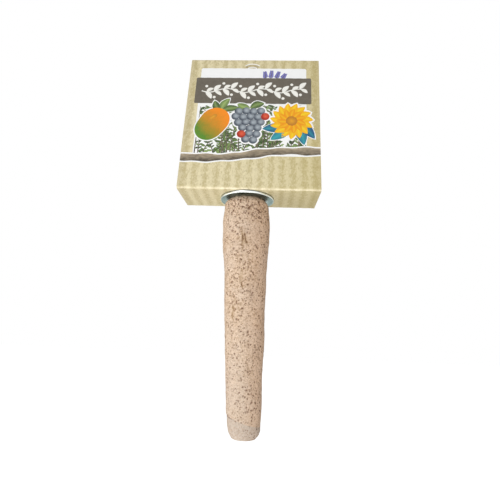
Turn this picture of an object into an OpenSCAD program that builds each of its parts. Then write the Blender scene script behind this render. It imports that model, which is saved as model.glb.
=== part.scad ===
// Bird perch in its folded card sleeve.
// A coated branch carries a hanger stud. The stud passes through a large washer, the two
// overlapping bottom flaps of the sleeve, a small washer and a nut.
// Origin: on the stud's axis, in the plane where the large washer meets the sleeve.
// +Z runs up the stud, the sleeve's printed front faces -Y.

/* [Branch] */
// Length of the coated branch, from its top face to its lowest point
perch_l = 132.2; // [90:0.1:220]
// Largest radius of the bare branch, just under its shoulder
branch_r = 13.05; // [11:0.05:20]
// How far the middle of the top face lies beside the stud, towards -X
top_shift = 0.3; // [0:0.1:1.5]
// How far the middle of the tip lies beside the stud, towards +X
tip_shift = 3.4; // [0:0.1:6]
// Backward bow at half length
bow = 0.8; // [0:0.1:3]
// Sideways bow at half length, towards -X
sway = 0.35; // [0:0.05:2]
// Height of the healed knot on the front
knot_h = 0.45; // [0:0.05:1]
// Width of the healed knot
knot_w = 7.5; // [4:0.5:12]

/* [Coat] */
// Thickness of the grit coat
grit_t = 0.9; // [0.6:0.05:1.6]
// Thickness of the thin coat on the tip
tip_coat_t = 0.4; // [0.25:0.05:0.6]

/* [Hanger stud] */
// Thread size of the stud
stud_d = 6; // [5:0.5:8]
// Length of the wood thread in the branch
wood_l = 30; // [20:1:45]
// Length of the machine thread above the branch
thread_l = 30; // [24:0.5:32]
// Pitch of the machine thread
pitch = 1; // [0.8:0.05:1.25]
// Length of the wood thread's point
point_l = 5; // [3:0.5:8]
// Chamfer on the free end
stud_chamfer = 0.7; // [0.3:0.1:1]

/* [Washers and nut] */
// Diameter of the large washer on the branch
large_washer_d = 32; // [26:0.5:34]
// Thickness of the large washer
large_washer_t = 1.5; // [1:0.1:2.5]
// Diameter of the small washer under the nut
small_washer_d = 18; // [14:0.5:19]
// Thickness of the small washer
small_washer_t = 1.6; // [1:0.1:2]
// Clearance of the washers' holes round the stud, on the radius
washer_clearance = 0.2; // [0.1:0.05:0.5]
// Rounding of the washers' stamped edges
washer_edge_r = 0.35; // [0.1:0.05:0.45]
// Width of the nut across its flats
nut_af = 10; // [9:0.5:13]
// Height of the nut
nut_h = 5; // [4:0.1:6.5]
// Running clearance of the nut's thread round the stud, on the radius
nut_clearance = 0.05; // [0.02:0.01:0.1]

/* [Sleeve] */
// Width of the folded card
sleeve_w = 82; // [60:1:110]
// Depth of the sleeve at its bottom creases
sleeve_d = 33; // [32:0.5:48]
// Height of the front panel along its slope
panel_h = 94.8; // [80:0.1:130]
// Thickness of the corrugated board
board_t = 3.05; // [2.6:0.05:3.6]
// Thickness of each liner
liner_t = 0.4; // [0.25:0.05:0.5]
// Thickness of the wavy paper between the liners
medium_t = 0.35; // [0.2:0.05:0.4]
// Length of one flute's wave
flute_pitch = 6.3; // [5:0.1:8]
// Outer radius of the folded creases
crease_r = 1.6; // [0.8:0.1:2]
// Diameter of the punched hole that the stud passes
stud_hole_d = 7; // [6.8:0.1:9]
// How far the card's middle lies beside the punched hole, towards +X
card_shift = 1.3; // [0:0.1:3]

/* [Hang slot] */
// Width of the arched slot, which lies right above the punched hole
slot_w = 8; // [6:0.2:14]
// Height of the slot's opening
slot_h = 1.8; // [1.2:0.1:3]
// Radius of the arch, at the middle of the opening
slot_arch_r = 6; // [5:0.5:12]
// Distance from the top fold to the top of the arch
slot_drop = 4.4; // [3:0.1:8]

/* [Hidden] */

// Play left between clamped faces of separate pieces
clamp_play = 0.05;
// Play between the two overlapping flaps
flap_play = 0.1;
// Space between the front and back boards at the top fold, on each side
fold_play = 0.2;
// Space that the outer flap's free edge stays short of the back crease
outer_flap_short = 1.5;
// Space between the inner flap's free edge and the front board
inner_flap_short = 0.5;
// Overrun of every cut past the faces that it opens
overrun = 1;

$fn = 96;

// Shape of the bare branch: share of the length below the top face, share of branch_r
branch_shares = [
    [0, 0.75], [0.01, 0.82], [0.022, 0.875], [0.045, 0.94], [0.075, 0.98], [0.11, 1],
    [0.2, 0.977], [0.27, 0.923], [0.335, 0.862], [0.4, 0.845], [0.5, 0.813], [0.6, 0.79],
    [0.7, 0.738], [0.8, 0.7], [0.9, 0.685], [0.936, 0.672], [0.965, 0.655],
    [0.985, 0.605], [1, 0.48]
];
// Where the grit coat ends in an oblique ledge, as a share of the length
ledge_share = 0.936;
// Stretch above the ledge over which the coat's lower edge turns oblique
ledge_ease_share = 0.14;
// Slope of the ledge, downwards towards +X
ledge_slope = 0.3;
// Where the knot sits
knot_share = 0.17;
knot_angle = -92;
// Out-of-roundness of the branch, as shares of its radius, and the side its oval points to
oval_share = 0.012;
lobe_share = 0.008;
oval_angle = 40;
// Unevenness of the grit coat, as a share of its thickness
lump_share = 0.16;
// Turns of the lobes along the branch, in degrees over its length
lobe_twist = 150;
lump_twist = 1250;
// Sides of every ring, rings above the ledge and rings below it
sides = 36;
upper_rings = 30;
lower_rings = 8;
// How strongly the rings crowd towards the shoulder and the tip
crowd_shares = [1.5, 1.7];

top_z = -large_washer_t - clamp_play;
stud_r = stud_d / 2;
washer_hole_r = stud_r + washer_clearance;
nut_hole_r = stud_r + nut_clearance;

// Heights of the clamped stack above the large washer
outer_flap_z = clamp_play;
inner_flap_z = outer_flap_z + board_t + flap_play;
small_washer_z = inner_flap_z + board_t + clamp_play;
nut_z = small_washer_z + small_washer_t + clamp_play;
stud_top_z = top_z + thread_l;
// Length of the bare branch: the coat on its end face makes up the rest
branch_l = perch_l - tip_coat_t;

// Half depth of the sleeve at its bottom creases and at its top fold
half_d = sleeve_d / 2;
top_half = board_t + fold_play;
front_lean = asin((half_d - top_half) / panel_h);
fold_z = outer_flap_z + panel_h * cos(front_lean);
back_lean = atan((half_d - top_half) / (fold_z - inner_flap_z));
back_h = (fold_z - inner_flap_z) / cos(back_lean);
// Inner face of the front board at the top of the inner flap
front_inner_y = -half_d + board_t / cos(front_lean)
    + (inner_flap_z + board_t - outer_flap_z) * tan(front_lean);

// The board is crushed flat beside a crease, over this share of its thickness
crush_share = 1.15;
crush_l = board_t * crush_share;
// Thickness of the crushed waves under the top fold
crushed_t = medium_t * 2;
// Flutes over the card's width, steps in one flute, and half the wave's height
flutes = floor(sleeve_w / flute_pitch);
wave_steps = 10;
wave_r = (board_t - 2 * liner_t - medium_t) / 2;
// Steps in the arc of one crease
crease_steps = 6;

// Slot heights along a panel, measured down from the fold
slot_mid_drop = slot_drop + slot_h / 2;
slot_reach = asin((slot_w - slot_h) / 2 / slot_arch_r);
slot_low_drop = slot_mid_drop + slot_arch_r * (1 - cos(slot_reach)) + slot_h / 2;

// Shape of the branch

function mix(a, b, t) = a + (b - a) * t;

// The rings' places along the branch: crowded at the shoulder, one on the ledge, crowded at the tip
ring_shares = concat(
    [for (i = [0:upper_rings]) ledge_share * pow(i / upper_rings, crowd_shares[0])],
    [for (i = [1:lower_rings])
        mix(ledge_share, 1, 1 - pow(1 - i / lower_rings, crowd_shares[1]))]
);
last_ring = upper_rings + lower_rings;

// How oblique a ring is, from 0 to 1 at the ledge and back to 0 at the tip
function oblique(s) = s <= ledge_share
    ? max(0, 1 - (ledge_share - s) / ledge_ease_share)
    : (1 - s) / (1 - ledge_share);

// A round bump for the knot, 1 at its middle
function knot(s, a, r) =
    exp(-pow((s - knot_share) * branch_l / knot_w * 2, 2)
        - pow(sin(a - knot_angle) * r / knot_w * 2, 2)) * (cos(a - knot_angle) > 0 ? 1 : 0);

function branch_radius(s, a) =
    let (r = branch_r * lookup(s, branch_shares))
    r * (1 + oval_share * cos(2 * (a - oval_angle)) + lobe_share * cos(3 * a + lobe_twist * s))
        + knot_h * knot(s, a, r);

function grit_radius(s, a) = branch_radius(s, a)
    + grit_t * (1 + lump_share * sin(5 * a + lump_twist * s) * sin(180 * s / ledge_share));

// A point of ring i at angle a, with the bare branch's radius or the coat's
function ring_point(i, a, r) =
    let (s = ring_shares[i])
    [
        mix(-top_shift, tip_shift, s) - sway * sin(180 * s) + r * cos(a),
        bow * sin(180 * s) + r * sin(a),
        top_z - branch_l * s - ledge_slope * oblique(s) * r * cos(a)
    ];

function bare_ring(i) = [for (k = [0:sides - 1])
    let (a = 360 * k / sides) ring_point(i, a, branch_radius(ring_shares[i], a))];

function grit_ring(i) = [for (k = [0:sides - 1])
    let (a = 360 * k / sides) ring_point(i, a, grit_radius(ring_shares[i], a))];

// The tip's coat also covers the end face, so its last ring lies lower by the coat's thickness
function tip_ring(i) = [for (k = [0:sides - 1])
    let (a = 360 * k / sides)
    ring_point(i, a, branch_radius(ring_shares[i], a) + tip_coat_t)
        - [0, 0, i == last_ring ? tip_coat_t : 0]];

// Two triangles between neighbouring rings of the point list; up turns them inside out
function band(row, up = false) = [
    for (k = [0:sides - 1])
        let (
            n = (k + 1) % sides,
            a = row * sides + k,
            b = row * sides + n,
            c = (row + 1) * sides + n,
            d = (row + 1) * sides + k
        )
        each up ? [[a, b, c], [a, c, d]] : [[a, c, b], [a, d, c]]
];

function fan(row, up = false) = up
    ? [for (k = [1:sides - 2]) [row * sides, row * sides + k, row * sides + k + 1]]
    : [for (k = [1:sides - 2]) [row * sides, row * sides + k + 1, row * sides + k]];

// A closed solid through a list of rings, with an end face on the first and on the last.
// Rings that go up the outside and down the inside make a cup. A list of rings that only goes
// down says so, and its triangles then match those of a cup's inside.
module rod(rings, down = false) {
    rows = len(rings);
    polyhedron(
        points = [for (r = rings) each r],
        faces = concat(
            [for (i = [0:rows - 2]) each band(i, !down)],
            fan(0, down),
            fan(rows - 1, !down)
        ),
        convexity = 4
    );
}

// A tube: rings up the outside and down the inside, back to the first
module tube(rings) {
    rows = len(rings);
    polyhedron(
        points = [for (r = rings) each r],
        faces = [
            for (i = [0:rows - 1], f = band(i, true))
                [for (p = f) p % (rows * sides)]
        ],
        convexity = 6
    );
}

module branch_core() {
    color("burlywood")
        difference() {
            rod([for (i = [0:last_ring]) bare_ring(i)], down = true);
            stud_shape();
        }
}

module grit_coat() {
    color([0.86, 0.75, 0.66])
        tube(concat(
            [for (i = [upper_rings:-1:0]) grit_ring(i)],
            [for (i = [0:upper_rings]) bare_ring(i)]
        ));
}

module tip_coat() {
    color([0.8, 0.73, 0.65])
        rod(concat(
            [for (i = [last_ring:-1:upper_rings]) tip_ring(i)],
            [for (i = [upper_rings:last_ring]) bare_ring(i)]
        ));
}

// Hardware

module stud_shape() {
    low = top_z - wood_l;
    rotate_extrude()
        polygon([
            [0, low], [stud_r, low + point_l], [stud_r, stud_top_z - stud_chamfer],
            [stud_r - stud_chamfer, stud_top_z], [0, stud_top_z]
        ]);
}

module hanger_stud() {
    color([0.78, 0.79, 0.8])
        stud_shape();
}

// A stamped washer: rolled upper edge, square lower edge
module washer(d, t) {
    r = d / 2;
    rotate_extrude()
        difference() {
            translate([washer_hole_r, 0])
                square([r - washer_hole_r, t]);
            translate([r - washer_edge_r, t - washer_edge_r])
                difference() {
                    square(washer_edge_r + overrun);
                    circle(washer_edge_r);
                }
        }
}

module large_washer() {
    color([0.8, 0.84, 0.85])
        mirror([0, 0, 1])
            washer(large_washer_d, large_washer_t);
}

module small_washer() {
    color([0.8, 0.84, 0.85])
        translate([0, 0, small_washer_z])
            washer(small_washer_d, small_washer_t);
}

// A six-sided nut with both ends turned to a 30 degree chamfer and a countersunk hole
module hex_nut() {
    corner_r = nut_af / 2 / cos(30);
    drop = (corner_r - nut_af / 2) * tan(30);
    sink = pitch / 2;
    color([0.78, 0.79, 0.8])
        translate([0, 0, nut_z])
            difference() {
                intersection() {
                    cylinder(r = corner_r, h = nut_h, $fn = 6);
                    rotate_extrude()
                        polygon([
                            [0, 0], [nut_af / 2, 0], [corner_r, drop],
                            [corner_r, nut_h - drop], [nut_af / 2, nut_h], [0, nut_h]
                        ]);
                }
                rotate_extrude()
                    polygon([
                        [0, -overrun], [nut_hole_r + sink + overrun, -overrun],
                        [nut_hole_r, sink], [nut_hole_r, nut_h - sink],
                        [nut_hole_r + sink + overrun, nut_h + overrun], [0, nut_h + overrun]
                    ]);
            }
}

// Sleeve

// The outer face of the folded strip as [y, z], from the outer flap's free edge over the
// front crease, the top fold and the back crease to the inner flap's free edge
strip = [
    [half_d - outer_flap_short, outer_flap_z],
    [-half_d, outer_flap_z],
    [-top_half, fold_z],
    [top_half, fold_z],
    [half_d, inner_flap_z],
    [front_inner_y + inner_flap_short, inner_flap_z]
];

function unit(v) = v / norm(v);

// Inward normal of the strip's stretch i
function inward(i) =
    let (d = unit(strip[i + 1] - strip[i])) [d[1], -d[0]];

// Vertex i of the strip, moved inwards by the depth
function strip_point(i, depth) =
    i == 0 ? strip[0] + depth * inward(0)
    : i == len(strip) - 1 ? strip[i] + depth * inward(i - 1)
    : let (a = inward(i - 1), b = inward(i)) strip[i] + depth * (a + b) / (1 + a * b);

// The arc round vertex i, or the bare vertex where the depth leaves no radius
function crease_points(i, depth) =
    let (
        r = crease_r - depth,
        a = inward(i - 1),
        b = inward(i),
        p = strip_point(i, depth),
        centre = p + r * (a + b) / (1 + a * b),
        turn = acos(a * b),
        start = atan2(-a[1], -a[0])
    )
    r <= 0 ? [p] : [
        for (k = [0:crease_steps])
            let (t = start - turn * k / crease_steps)
            centre + r * [cos(t), sin(t)]
    ];

function strip_line(depth) = concat(
    [strip_point(0, depth)],
    [for (i = [1:len(strip) - 2]) each crease_points(i, depth)],
    [strip_point(len(strip) - 1, depth)]
);

function reversed(v) = [for (i = [len(v) - 1:-1:0]) v[i]];

// A sheet of paper that follows the folded strip between two depths
module strip_sheet(from, to) {
    translate([card_shift, 0, 0])
        rotate([90, 0, 90])
            linear_extrude(sleeve_w, center = true)
                polygon(concat(strip_line(from), reversed(strip_line(to))));
}

// Places a child built as [x, depth, distance up from the crease] on the front or back panel
module on_front() {
    translate([card_shift, -half_d, outer_flap_z])
        rotate([-front_lean, 0, 0])
            children();
}

module on_back() {
    translate([card_shift, half_d, inner_flap_z])
        mirror([0, 1, 0])
            rotate([-back_lean, 0, 0])
                children();
}

// The arched slot's outline, with its origin at the middle of the arch
module slot_outline() {
    difference() {
        intersection() {
            translate([0, -slot_arch_r])
                circle(slot_arch_r + slot_h / 2);
            translate([-slot_w / 2, slot_mid_drop - slot_low_drop])
                square([slot_w, slot_low_drop]);
        }
        translate([0, -slot_arch_r])
            circle(slot_arch_r - slot_h / 2);
    }
}

// Cuts the slot through a panel of the given height
module slot_cut(h) {
    translate([-card_shift, board_t + overrun, h - slot_mid_drop])
        rotate([90, 0, 0])
            linear_extrude(board_t + 2 * overrun)
                slot_outline();
}

module stud_hole() {
    translate([0, 0, -overrun])
        cylinder(d = stud_hole_d, h = small_washer_z + 2 * overrun);
}

module punched_strip(from, to) {
    difference() {
        strip_sheet(from, to);
        on_front() slot_cut(panel_h);
        on_back() slot_cut(back_h);
        stud_hole();
    }
}

module sleeve_outer_liner() {
    color([0.85, 0.76, 0.56])
        punched_strip(0, liner_t);
}

module sleeve_inner_liner() {
    color([0.78, 0.68, 0.5])
        punched_strip(board_t - liner_t, board_t);
}

// One line of the wave, shifted along its normal
function wave_line(x0, x1, shift) =
    let (steps = round((x1 - x0) / flute_pitch * wave_steps))
    [
        for (k = [0:steps])
            let (
                x = mix(x0, x1, k / steps),
                turn = 360 * x / flute_pitch,
                slope = -wave_r * 2 * PI / flute_pitch * sin(turn),
                long = sqrt(1 + slope * slope)
            )
            [
                k == 0 ? x0 : k == steps ? x1 : x - shift * slope / long,
                board_t / 2 + wave_r * cos(turn)
                    + (k == 0 || k == steps ? shift * long : shift / long)
            ]
    ];

// A run of wavy paper as wide as x0 to x1, from one height of the panel to another
module wave_sheet(x0, x1, from, to) {
    translate([0, 0, from])
        linear_extrude(to - from)
            intersection() {
                polygon(concat(
                    wave_line(x0, x1, medium_t / 2),
                    reversed(wave_line(x0, x1, -medium_t / 2))
                ));
                translate([x0, liner_t])
                    square([x1 - x0, board_t - 2 * liner_t]);
            }
}

// The waves of an upright panel: one sheet below the slot and one on each side of it
module panel_waves(h) {
    half_w = flutes * flute_pitch / 2;
    slot_side = slot_w / 2 + medium_t;
    slot_low = h - slot_low_drop - medium_t;
    wave_sheet(-half_w, half_w, crush_l, slot_low);
    wave_sheet(-half_w, -card_shift - slot_side, slot_low + flap_play, h - crush_l);
    wave_sheet(-card_shift + slot_side, half_w, slot_low + flap_play, h - crush_l);
}

// The waves of a bottom flap, laid with its depth upwards
module flap_waves(from_y, to_y, z) {
    half_w = flutes * flute_pitch / 2;
    translate([card_shift, to_y, z])
        rotate([90, 0, 0])
            wave_sheet(-half_w, half_w, 0, to_y - from_y);
}

module sleeve_fluting() {
    color([0.72, 0.6, 0.42]) {
        on_front() panel_waves(panel_h);
        on_back() panel_waves(back_h);
        difference() {
            union() {
                flap_waves(-half_d + crush_l, half_d - outer_flap_short, outer_flap_z);
                flap_waves(
                    front_inner_y + inner_flap_short, half_d - crush_l, inner_flap_z
                );
            }
            stud_hole();
        }
        translate([card_shift, 0, fold_z - liner_t - crushed_t / 2])
            cube([sleeve_w, 2 * (top_half - crease_r), crushed_t], center = true);
    }
}

branch_core();
grit_coat();
tip_coat();
hanger_stud();
large_washer();
small_washer();
hex_nut();
sleeve_outer_liner();
sleeve_fluting();
sleeve_inner_liner();
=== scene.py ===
"""Bird perch in its folded card sleeve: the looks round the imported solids.

A grit-coated branch hangs from a threaded stud. The stud carries a large zinc washer, the two
bottom flaps of a corrugated card sleeve, a small washer and a nut. Lengths in the classes are in
millimetres, as in the part's source, and become metres where a mesh is made. The scales of a
material's patterns are in waves or cells per metre.
"""

import logging
import math
from dataclasses import dataclass, field
from enum import Enum
from typing import Callable, Union

import bpy
import numpy as np
from mathutils import Matrix, Vector


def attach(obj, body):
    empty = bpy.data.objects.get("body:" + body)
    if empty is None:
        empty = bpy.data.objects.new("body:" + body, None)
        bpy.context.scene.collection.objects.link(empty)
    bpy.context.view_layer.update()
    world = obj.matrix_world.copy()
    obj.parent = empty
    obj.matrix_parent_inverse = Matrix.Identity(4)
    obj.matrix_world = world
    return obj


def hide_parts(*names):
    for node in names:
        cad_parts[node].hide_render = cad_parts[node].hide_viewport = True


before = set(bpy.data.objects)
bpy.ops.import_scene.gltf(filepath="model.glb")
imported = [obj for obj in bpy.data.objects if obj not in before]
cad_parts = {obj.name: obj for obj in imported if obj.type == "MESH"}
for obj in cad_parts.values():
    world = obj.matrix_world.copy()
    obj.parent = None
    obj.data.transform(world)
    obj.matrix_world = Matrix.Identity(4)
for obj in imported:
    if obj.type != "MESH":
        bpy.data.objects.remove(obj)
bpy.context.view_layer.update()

MM = 0.001
TURN = 2 * math.pi
LOG = logging.getLogger("perch")

Array = np.ndarray
Colour = tuple[float, float, float]
Faces = list[list[int]]
Material = bpy.types.Material
Piece = bpy.types.Object
Place = tuple[float, float]
Range = tuple[float, float]
Socket = bpy.types.NodeSocket
Source = Union[Socket, float, Colour]


# Meshes


def angles(count: int) -> Array:
    """A full turn in equal steps, in radians."""
    return np.arange(count) * TURN / count


def ease(t: Array) -> Array:
    """Eases a share from 0 to 1: three squares less two cubes."""
    return t * t * (3 - 2 * t)


def smoothstep(low: float, high: float, value: Array) -> Array:
    """Rises smoothly from 0 at low to 1 at high."""
    return ease(np.clip((value - low) / (high - low), 0, 1))


def bell(value: Array, middle: float, wide: float) -> Array:
    """A bell curve that is 1 at its middle: e to minus the square of distance over width."""
    return np.exp(-(((value - middle) / wide) ** 2))


def ring_faces(rows: int, cols: int, closed: bool) -> Faces:
    """Quads between neighbouring rings of a surface that is round in its columns.

    Args:
        rows: number of rings.
        cols: points in each ring.
        closed: whether the last ring joins the first; otherwise both ends get a face.
    Returns:
        The faces as lists of indices into the rings, one after another.
    """
    row = np.arange(rows if closed else rows - 1)[:, None]
    col = np.arange(cols)[None, :]
    after, beside = (row + 1) % rows, (col + 1) % cols
    quads = np.stack(
        [row * cols + col, row * cols + beside, after * cols + beside, after * cols + col], -1
    )
    faces = quads.reshape(-1, 4).tolist()
    if not closed:
        faces.append(list(range(cols - 1, -1, -1)))
        faces.append(list(range((rows - 1) * cols, rows * cols)))
    return faces


def plate_faces(rows: int, cols: int) -> Faces:
    """Faces of a closed plate: an upper grid, then a lower grid of the same size, and the rim.

    Args:
        rows: rows of each grid.
        cols: columns of each grid.
    Returns:
        The faces, with the upper grid's points first in the index order.
    """
    index = np.arange(rows * cols).reshape(rows, cols)
    quads = np.stack([index[:-1, :-1], index[:-1, 1:], index[1:, 1:], index[1:, :-1]], -1)
    quads = quads.reshape(-1, 4)
    rim = np.concatenate([index[0, :-1], index[:-1, -1], index[-1, :0:-1], index[:0:-1, 0]])
    after = np.roll(rim, -1)
    lower = rows * cols
    walls = np.stack([rim, rim + lower, after + lower, after], -1)
    return np.concatenate([quads, quads[:, ::-1] + lower, walls]).tolist()


def signed_volume(points: Array, faces: Faces) -> float:
    """Volume inside a closed mesh: a sixth of the triple products of its fanned triangles.

    Args:
        points: the mesh's points, one row each.
        faces: its faces.
    Returns:
        The volume, negative where the faces point inwards.
    """
    total = 0.0
    by_size: dict[int, Faces] = {}
    for face in faces:
        by_size.setdefault(len(face), []).append(face)
    for size, group in by_size.items():
        index = np.array(group)
        first = points[index[:, 0]]
        for k in range(1, size - 1):
            cross = np.cross(points[index[:, k]], points[index[:, k + 1]])
            total += float(np.einsum("ij,ij->", first, cross)) / 6
    return total


def outward(points: Array, faces: Faces) -> Faces:
    """The faces of a closed mesh, turned round if they point inwards."""
    return [face[::-1] for face in faces] if signed_volume(points, faces) < 0 else faces


def lathe(r: Array, a: Array, z: Array) -> Array:
    """Points about the stud's axis from radius, angle and height, one row each."""
    return np.stack(np.broadcast_arrays(r * np.cos(a), r * np.sin(a), z), -1).reshape(-1, 3)


def make_piece(name: str, points: Array, faces: Faces, sharp_deg: float = 40) -> Piece:
    """Puts a closed surface into the scene with its faces outwards and its edges shaded.

    Args:
        name: the piece's name.
        points: its points in millimetres, one row each.
        faces: its faces.
        sharp_deg: the angle above which an edge stays sharp.
    Returns:
        The new object, at the origin.
    """
    mesh = bpy.data.meshes.new(name)
    mesh.from_pydata((points * MM).tolist(), [], outward(points, faces))
    mesh.validate()
    mesh.polygons.foreach_set("use_smooth", np.ones(len(mesh.polygons), dtype=bool))
    mesh.set_sharp_from_angle(angle=math.radians(sharp_deg))
    mesh.update()
    piece = bpy.data.objects.new(name, mesh)
    bpy.context.scene.collection.objects.link(piece)
    return piece


def set_values(piece: Piece, values: dict[str, Array]) -> None:
    """Stores numbers for the first points of a piece, for its material to read, and 0 for the rest.

    Args:
        piece: the piece.
        values: for each name its numbers, in the order of the points.
    """
    for name, numbers in values.items():
        padded = np.zeros(len(piece.data.vertices), np.float32)
        padded[: numbers.size] = numbers.ravel()
        piece.data.attributes.new(name, "FLOAT", "POINT").data.foreach_set("value", padded)


def paint(thing: Piece, material: Material) -> None:
    """Leaves one material on a piece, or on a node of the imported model."""
    thing.data.materials.clear()
    thing.data.materials.append(material)


def dress(piece: Piece, material: Material, body: str) -> None:
    """Gives a piece its material and its body, and logs it.

    Args:
        piece: the piece.
        material: its only material.
        body: the body that it moves with.
    """
    paint(piece, material)
    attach(piece, body)
    LOG.info("%s rides on %s: %d points", piece.name, body, len(piece.data.vertices))


def subtract(piece: Piece, cutters: list[Piece]) -> None:
    """Cuts closed cutters out of a piece for good, and removes the cutters.

    Args:
        piece: the piece that is cut.
        cutters: the closed shapes that are taken out of it.
    """
    for cutter in cutters:
        step = piece.modifiers.new("cut", "BOOLEAN")
        step.operation = "DIFFERENCE"
        step.solver = "EXACT"
        step.object = cutter
    bpy.context.view_layer.update()
    graph = bpy.context.evaluated_depsgraph_get()
    cut = bpy.data.meshes.new_from_object(piece.evaluated_get(graph))
    piece.modifiers.clear()
    piece.data = cut
    for cutter in cutters:
        bpy.data.objects.remove(cutter)


def lattice_noise(around: Array, along: Array, cells: tuple[int, int], seed: int) -> Array:
    """Smooth noise that closes round: random heights on a lattice, eased between its points.

    Args:
        around: place round the piece, where 1 is a full turn.
        along: place along the piece, from 0 to 1.
        cells: lattice cells around and along.
        seed: which set of heights.
    Returns:
        Values from -1 to 1.
    """
    table = np.random.default_rng(seed).uniform(-1, 1, (cells[1] + 2, cells[0]))
    x = (around % 1) * cells[0]
    y = np.clip(along, 0, 1) * cells[1]
    i, j = np.floor(x).astype(int) % cells[0], np.floor(y).astype(int)
    fx, fy = ease(x - np.floor(x)), ease(y - j)
    beside = (i + 1) % cells[0]
    low = table[j, i] * (1 - fx) + table[j, beside] * fx
    high = table[j + 1, i] * (1 - fx) + table[j + 1, beside] * fx
    return low * (1 - fy) + high * fy


@dataclass(frozen=True)
class Lumps:
    """One size of lump: its height, how many lie around and along a piece, and its seed."""

    height: float
    cells: tuple[int, int]
    seed: int


def roughened(base: Array, around: Array, along: Array, sizes: tuple[Lumps, ...]) -> Array:
    """A height with lumps of several sizes added to it, each a lattice noise.

    Args:
        base: the height without lumps.
        around: place round the piece, where 1 is a full turn.
        along: place along the piece, from 0 to 1.
        sizes: the sizes of lump.
    Returns:
        The height with the lumps.
    """
    for lumps in sizes:
        base = base + lumps.height * lattice_noise(around, along, lumps.cells, lumps.seed)
    return base


# Materials

# Places of the colour sockets among those of Blender's Mix node
MIX_A, MIX_B, MIX_RESULT = 6, 7, 2


class Nodes:
    """A tree of shader nodes, with short calls for the nodes that this scene uses.

    A source is a socket, which is joined on, or a plain number, vector or colour, which is stored.
    """

    def __init__(self, tree: bpy.types.NodeTree) -> None:
        """Takes the tree that the nodes go into."""
        self.tree = tree

    def feed(self, target: Socket, source: Source) -> None:
        """Joins a socket to the target, or stores a plain value in it.

        Args:
            target: the input.
            source: what it gets.
        """
        if isinstance(source, bpy.types.NodeSocket):
            self.tree.links.new(source, target)
        elif target.type == "RGBA":
            target.default_value = (*source, 1)
        else:
            target.default_value = source

    def node(
        self, kind: str, sources: dict[str | int, Source] | None = None, **settings: object
    ) -> bpy.types.Node:
        """Adds a node, sets its properties and feeds its inputs.

        Args:
            kind: the node's type.
            sources: what its inputs get, by name or number.
            settings: its properties.
        Returns:
            The node.
        """
        made = self.tree.nodes.new(kind)
        for key, value in settings.items():
            setattr(made, key, value)
        for key, source in (sources or {}).items():
            self.feed(made.inputs[key], source)
        return made

    def math(self, operation: str, *sources: Source) -> Socket:
        """One step of arithmetic."""
        return self.node(
            "ShaderNodeMath", dict(enumerate(sources)), operation=operation
        ).outputs[0]

    def vector(self, operation: str, *sources: Source) -> Socket:
        """One step of vector arithmetic."""
        return self.node(
            "ShaderNodeVectorMath", dict(enumerate(sources)), operation=operation
        ).outputs[0]

    def between(self, share: Source, low: float, high: float) -> Socket:
        """Goes straight from low to high as the share goes from 0 to 1."""
        return self.math("MULTIPLY_ADD", share, high - low, low)

    def spread(
        self, value: Source, low: Source, high: Source, to_low: float = 0, to_high: float = 1
    ) -> Socket:
        """Stretches a range of values smoothly on to another.

        Args:
            value: the value.
            low: where the range starts.
            high: where it ends.
            to_low: the result at its start.
            to_high: the result at its end.
        Returns:
            The result.
        """
        names = ("Value", "From Min", "From Max", "To Min", "To Max")
        sources = dict(zip(names, (value, low, high, to_low, to_high)))
        made = self.node("ShaderNodeMapRange", sources, interpolation_type="SMOOTHSTEP")
        return made.outputs["Result"]

    def noise(self, where: Socket, scale: Source, detail: float = 3) -> bpy.types.Node:
        """A noise texture."""
        return self.node("ShaderNodeTexNoise", {"Vector": where, "Scale": scale, "Detail": detail})

    def blend(self, share: Source, a: Source, b: Source) -> Socket:
        """Mixes two colours."""
        sources = {"Factor": share, MIX_A: a, MIX_B: b}
        return self.node("ShaderNodeMix", sources, data_type="RGBA").outputs[MIX_RESULT]

    def stain(self, colour: Source, mask: Source, strength: Source, tint: Colour) -> Socket:
        """Mixes a tint into a colour by a mask times a strength."""
        return self.blend(self.math("MULTIPLY", mask, strength), colour, tint)


class SharedGroup(Nodes):
    """A node group that takes a vector and some numbers, and puts out numbers."""

    def __init__(self, name: str, inputs: dict[str, float], outputs: list[str]) -> None:
        """Makes the group with its sockets, and the nodes that stand for them inside it.

        Args:
            name: the group's name.
            inputs: names and first values of its number inputs.
            outputs: names of its outputs.
        """
        super().__init__(bpy.data.node_groups.new(name, "ShaderNodeTree"))
        sockets = self.tree.interface
        sockets.new_socket("Vector", in_out="INPUT", socket_type="NodeSocketVector")
        for key, value in inputs.items():
            made = sockets.new_socket(key, in_out="INPUT", socket_type="NodeSocketFloat")
            made.default_value = value
        for key in outputs:
            sockets.new_socket(key, in_out="OUTPUT", socket_type="NodeSocketFloat")
        self.given = self.node("NodeGroupInput").outputs
        self.out = self.node("NodeGroupOutput").inputs


def mottle_group() -> bpy.types.NodeTree:
    """Soft patches and fine grain: two noises, mixed by the share of the finer one.

    Returns:
        The group, which puts out a Value from 0 to 1.
    """
    group = SharedGroup("mottle", {"Patch": 60, "Grain": 900, "Share": 0.4}, ["Value"])
    given = group.given
    soft = group.noise(given["Vector"], given["Patch"], 3).outputs["Fac"]
    fine = group.noise(given["Vector"], given["Grain"], 4).outputs["Fac"]
    mix = group.node("ShaderNodeMix", {"Factor": given["Share"], "A": soft, "B": fine})
    group.feed(group.out["Value"], mix.outputs["Result"])
    return group.tree


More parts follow.
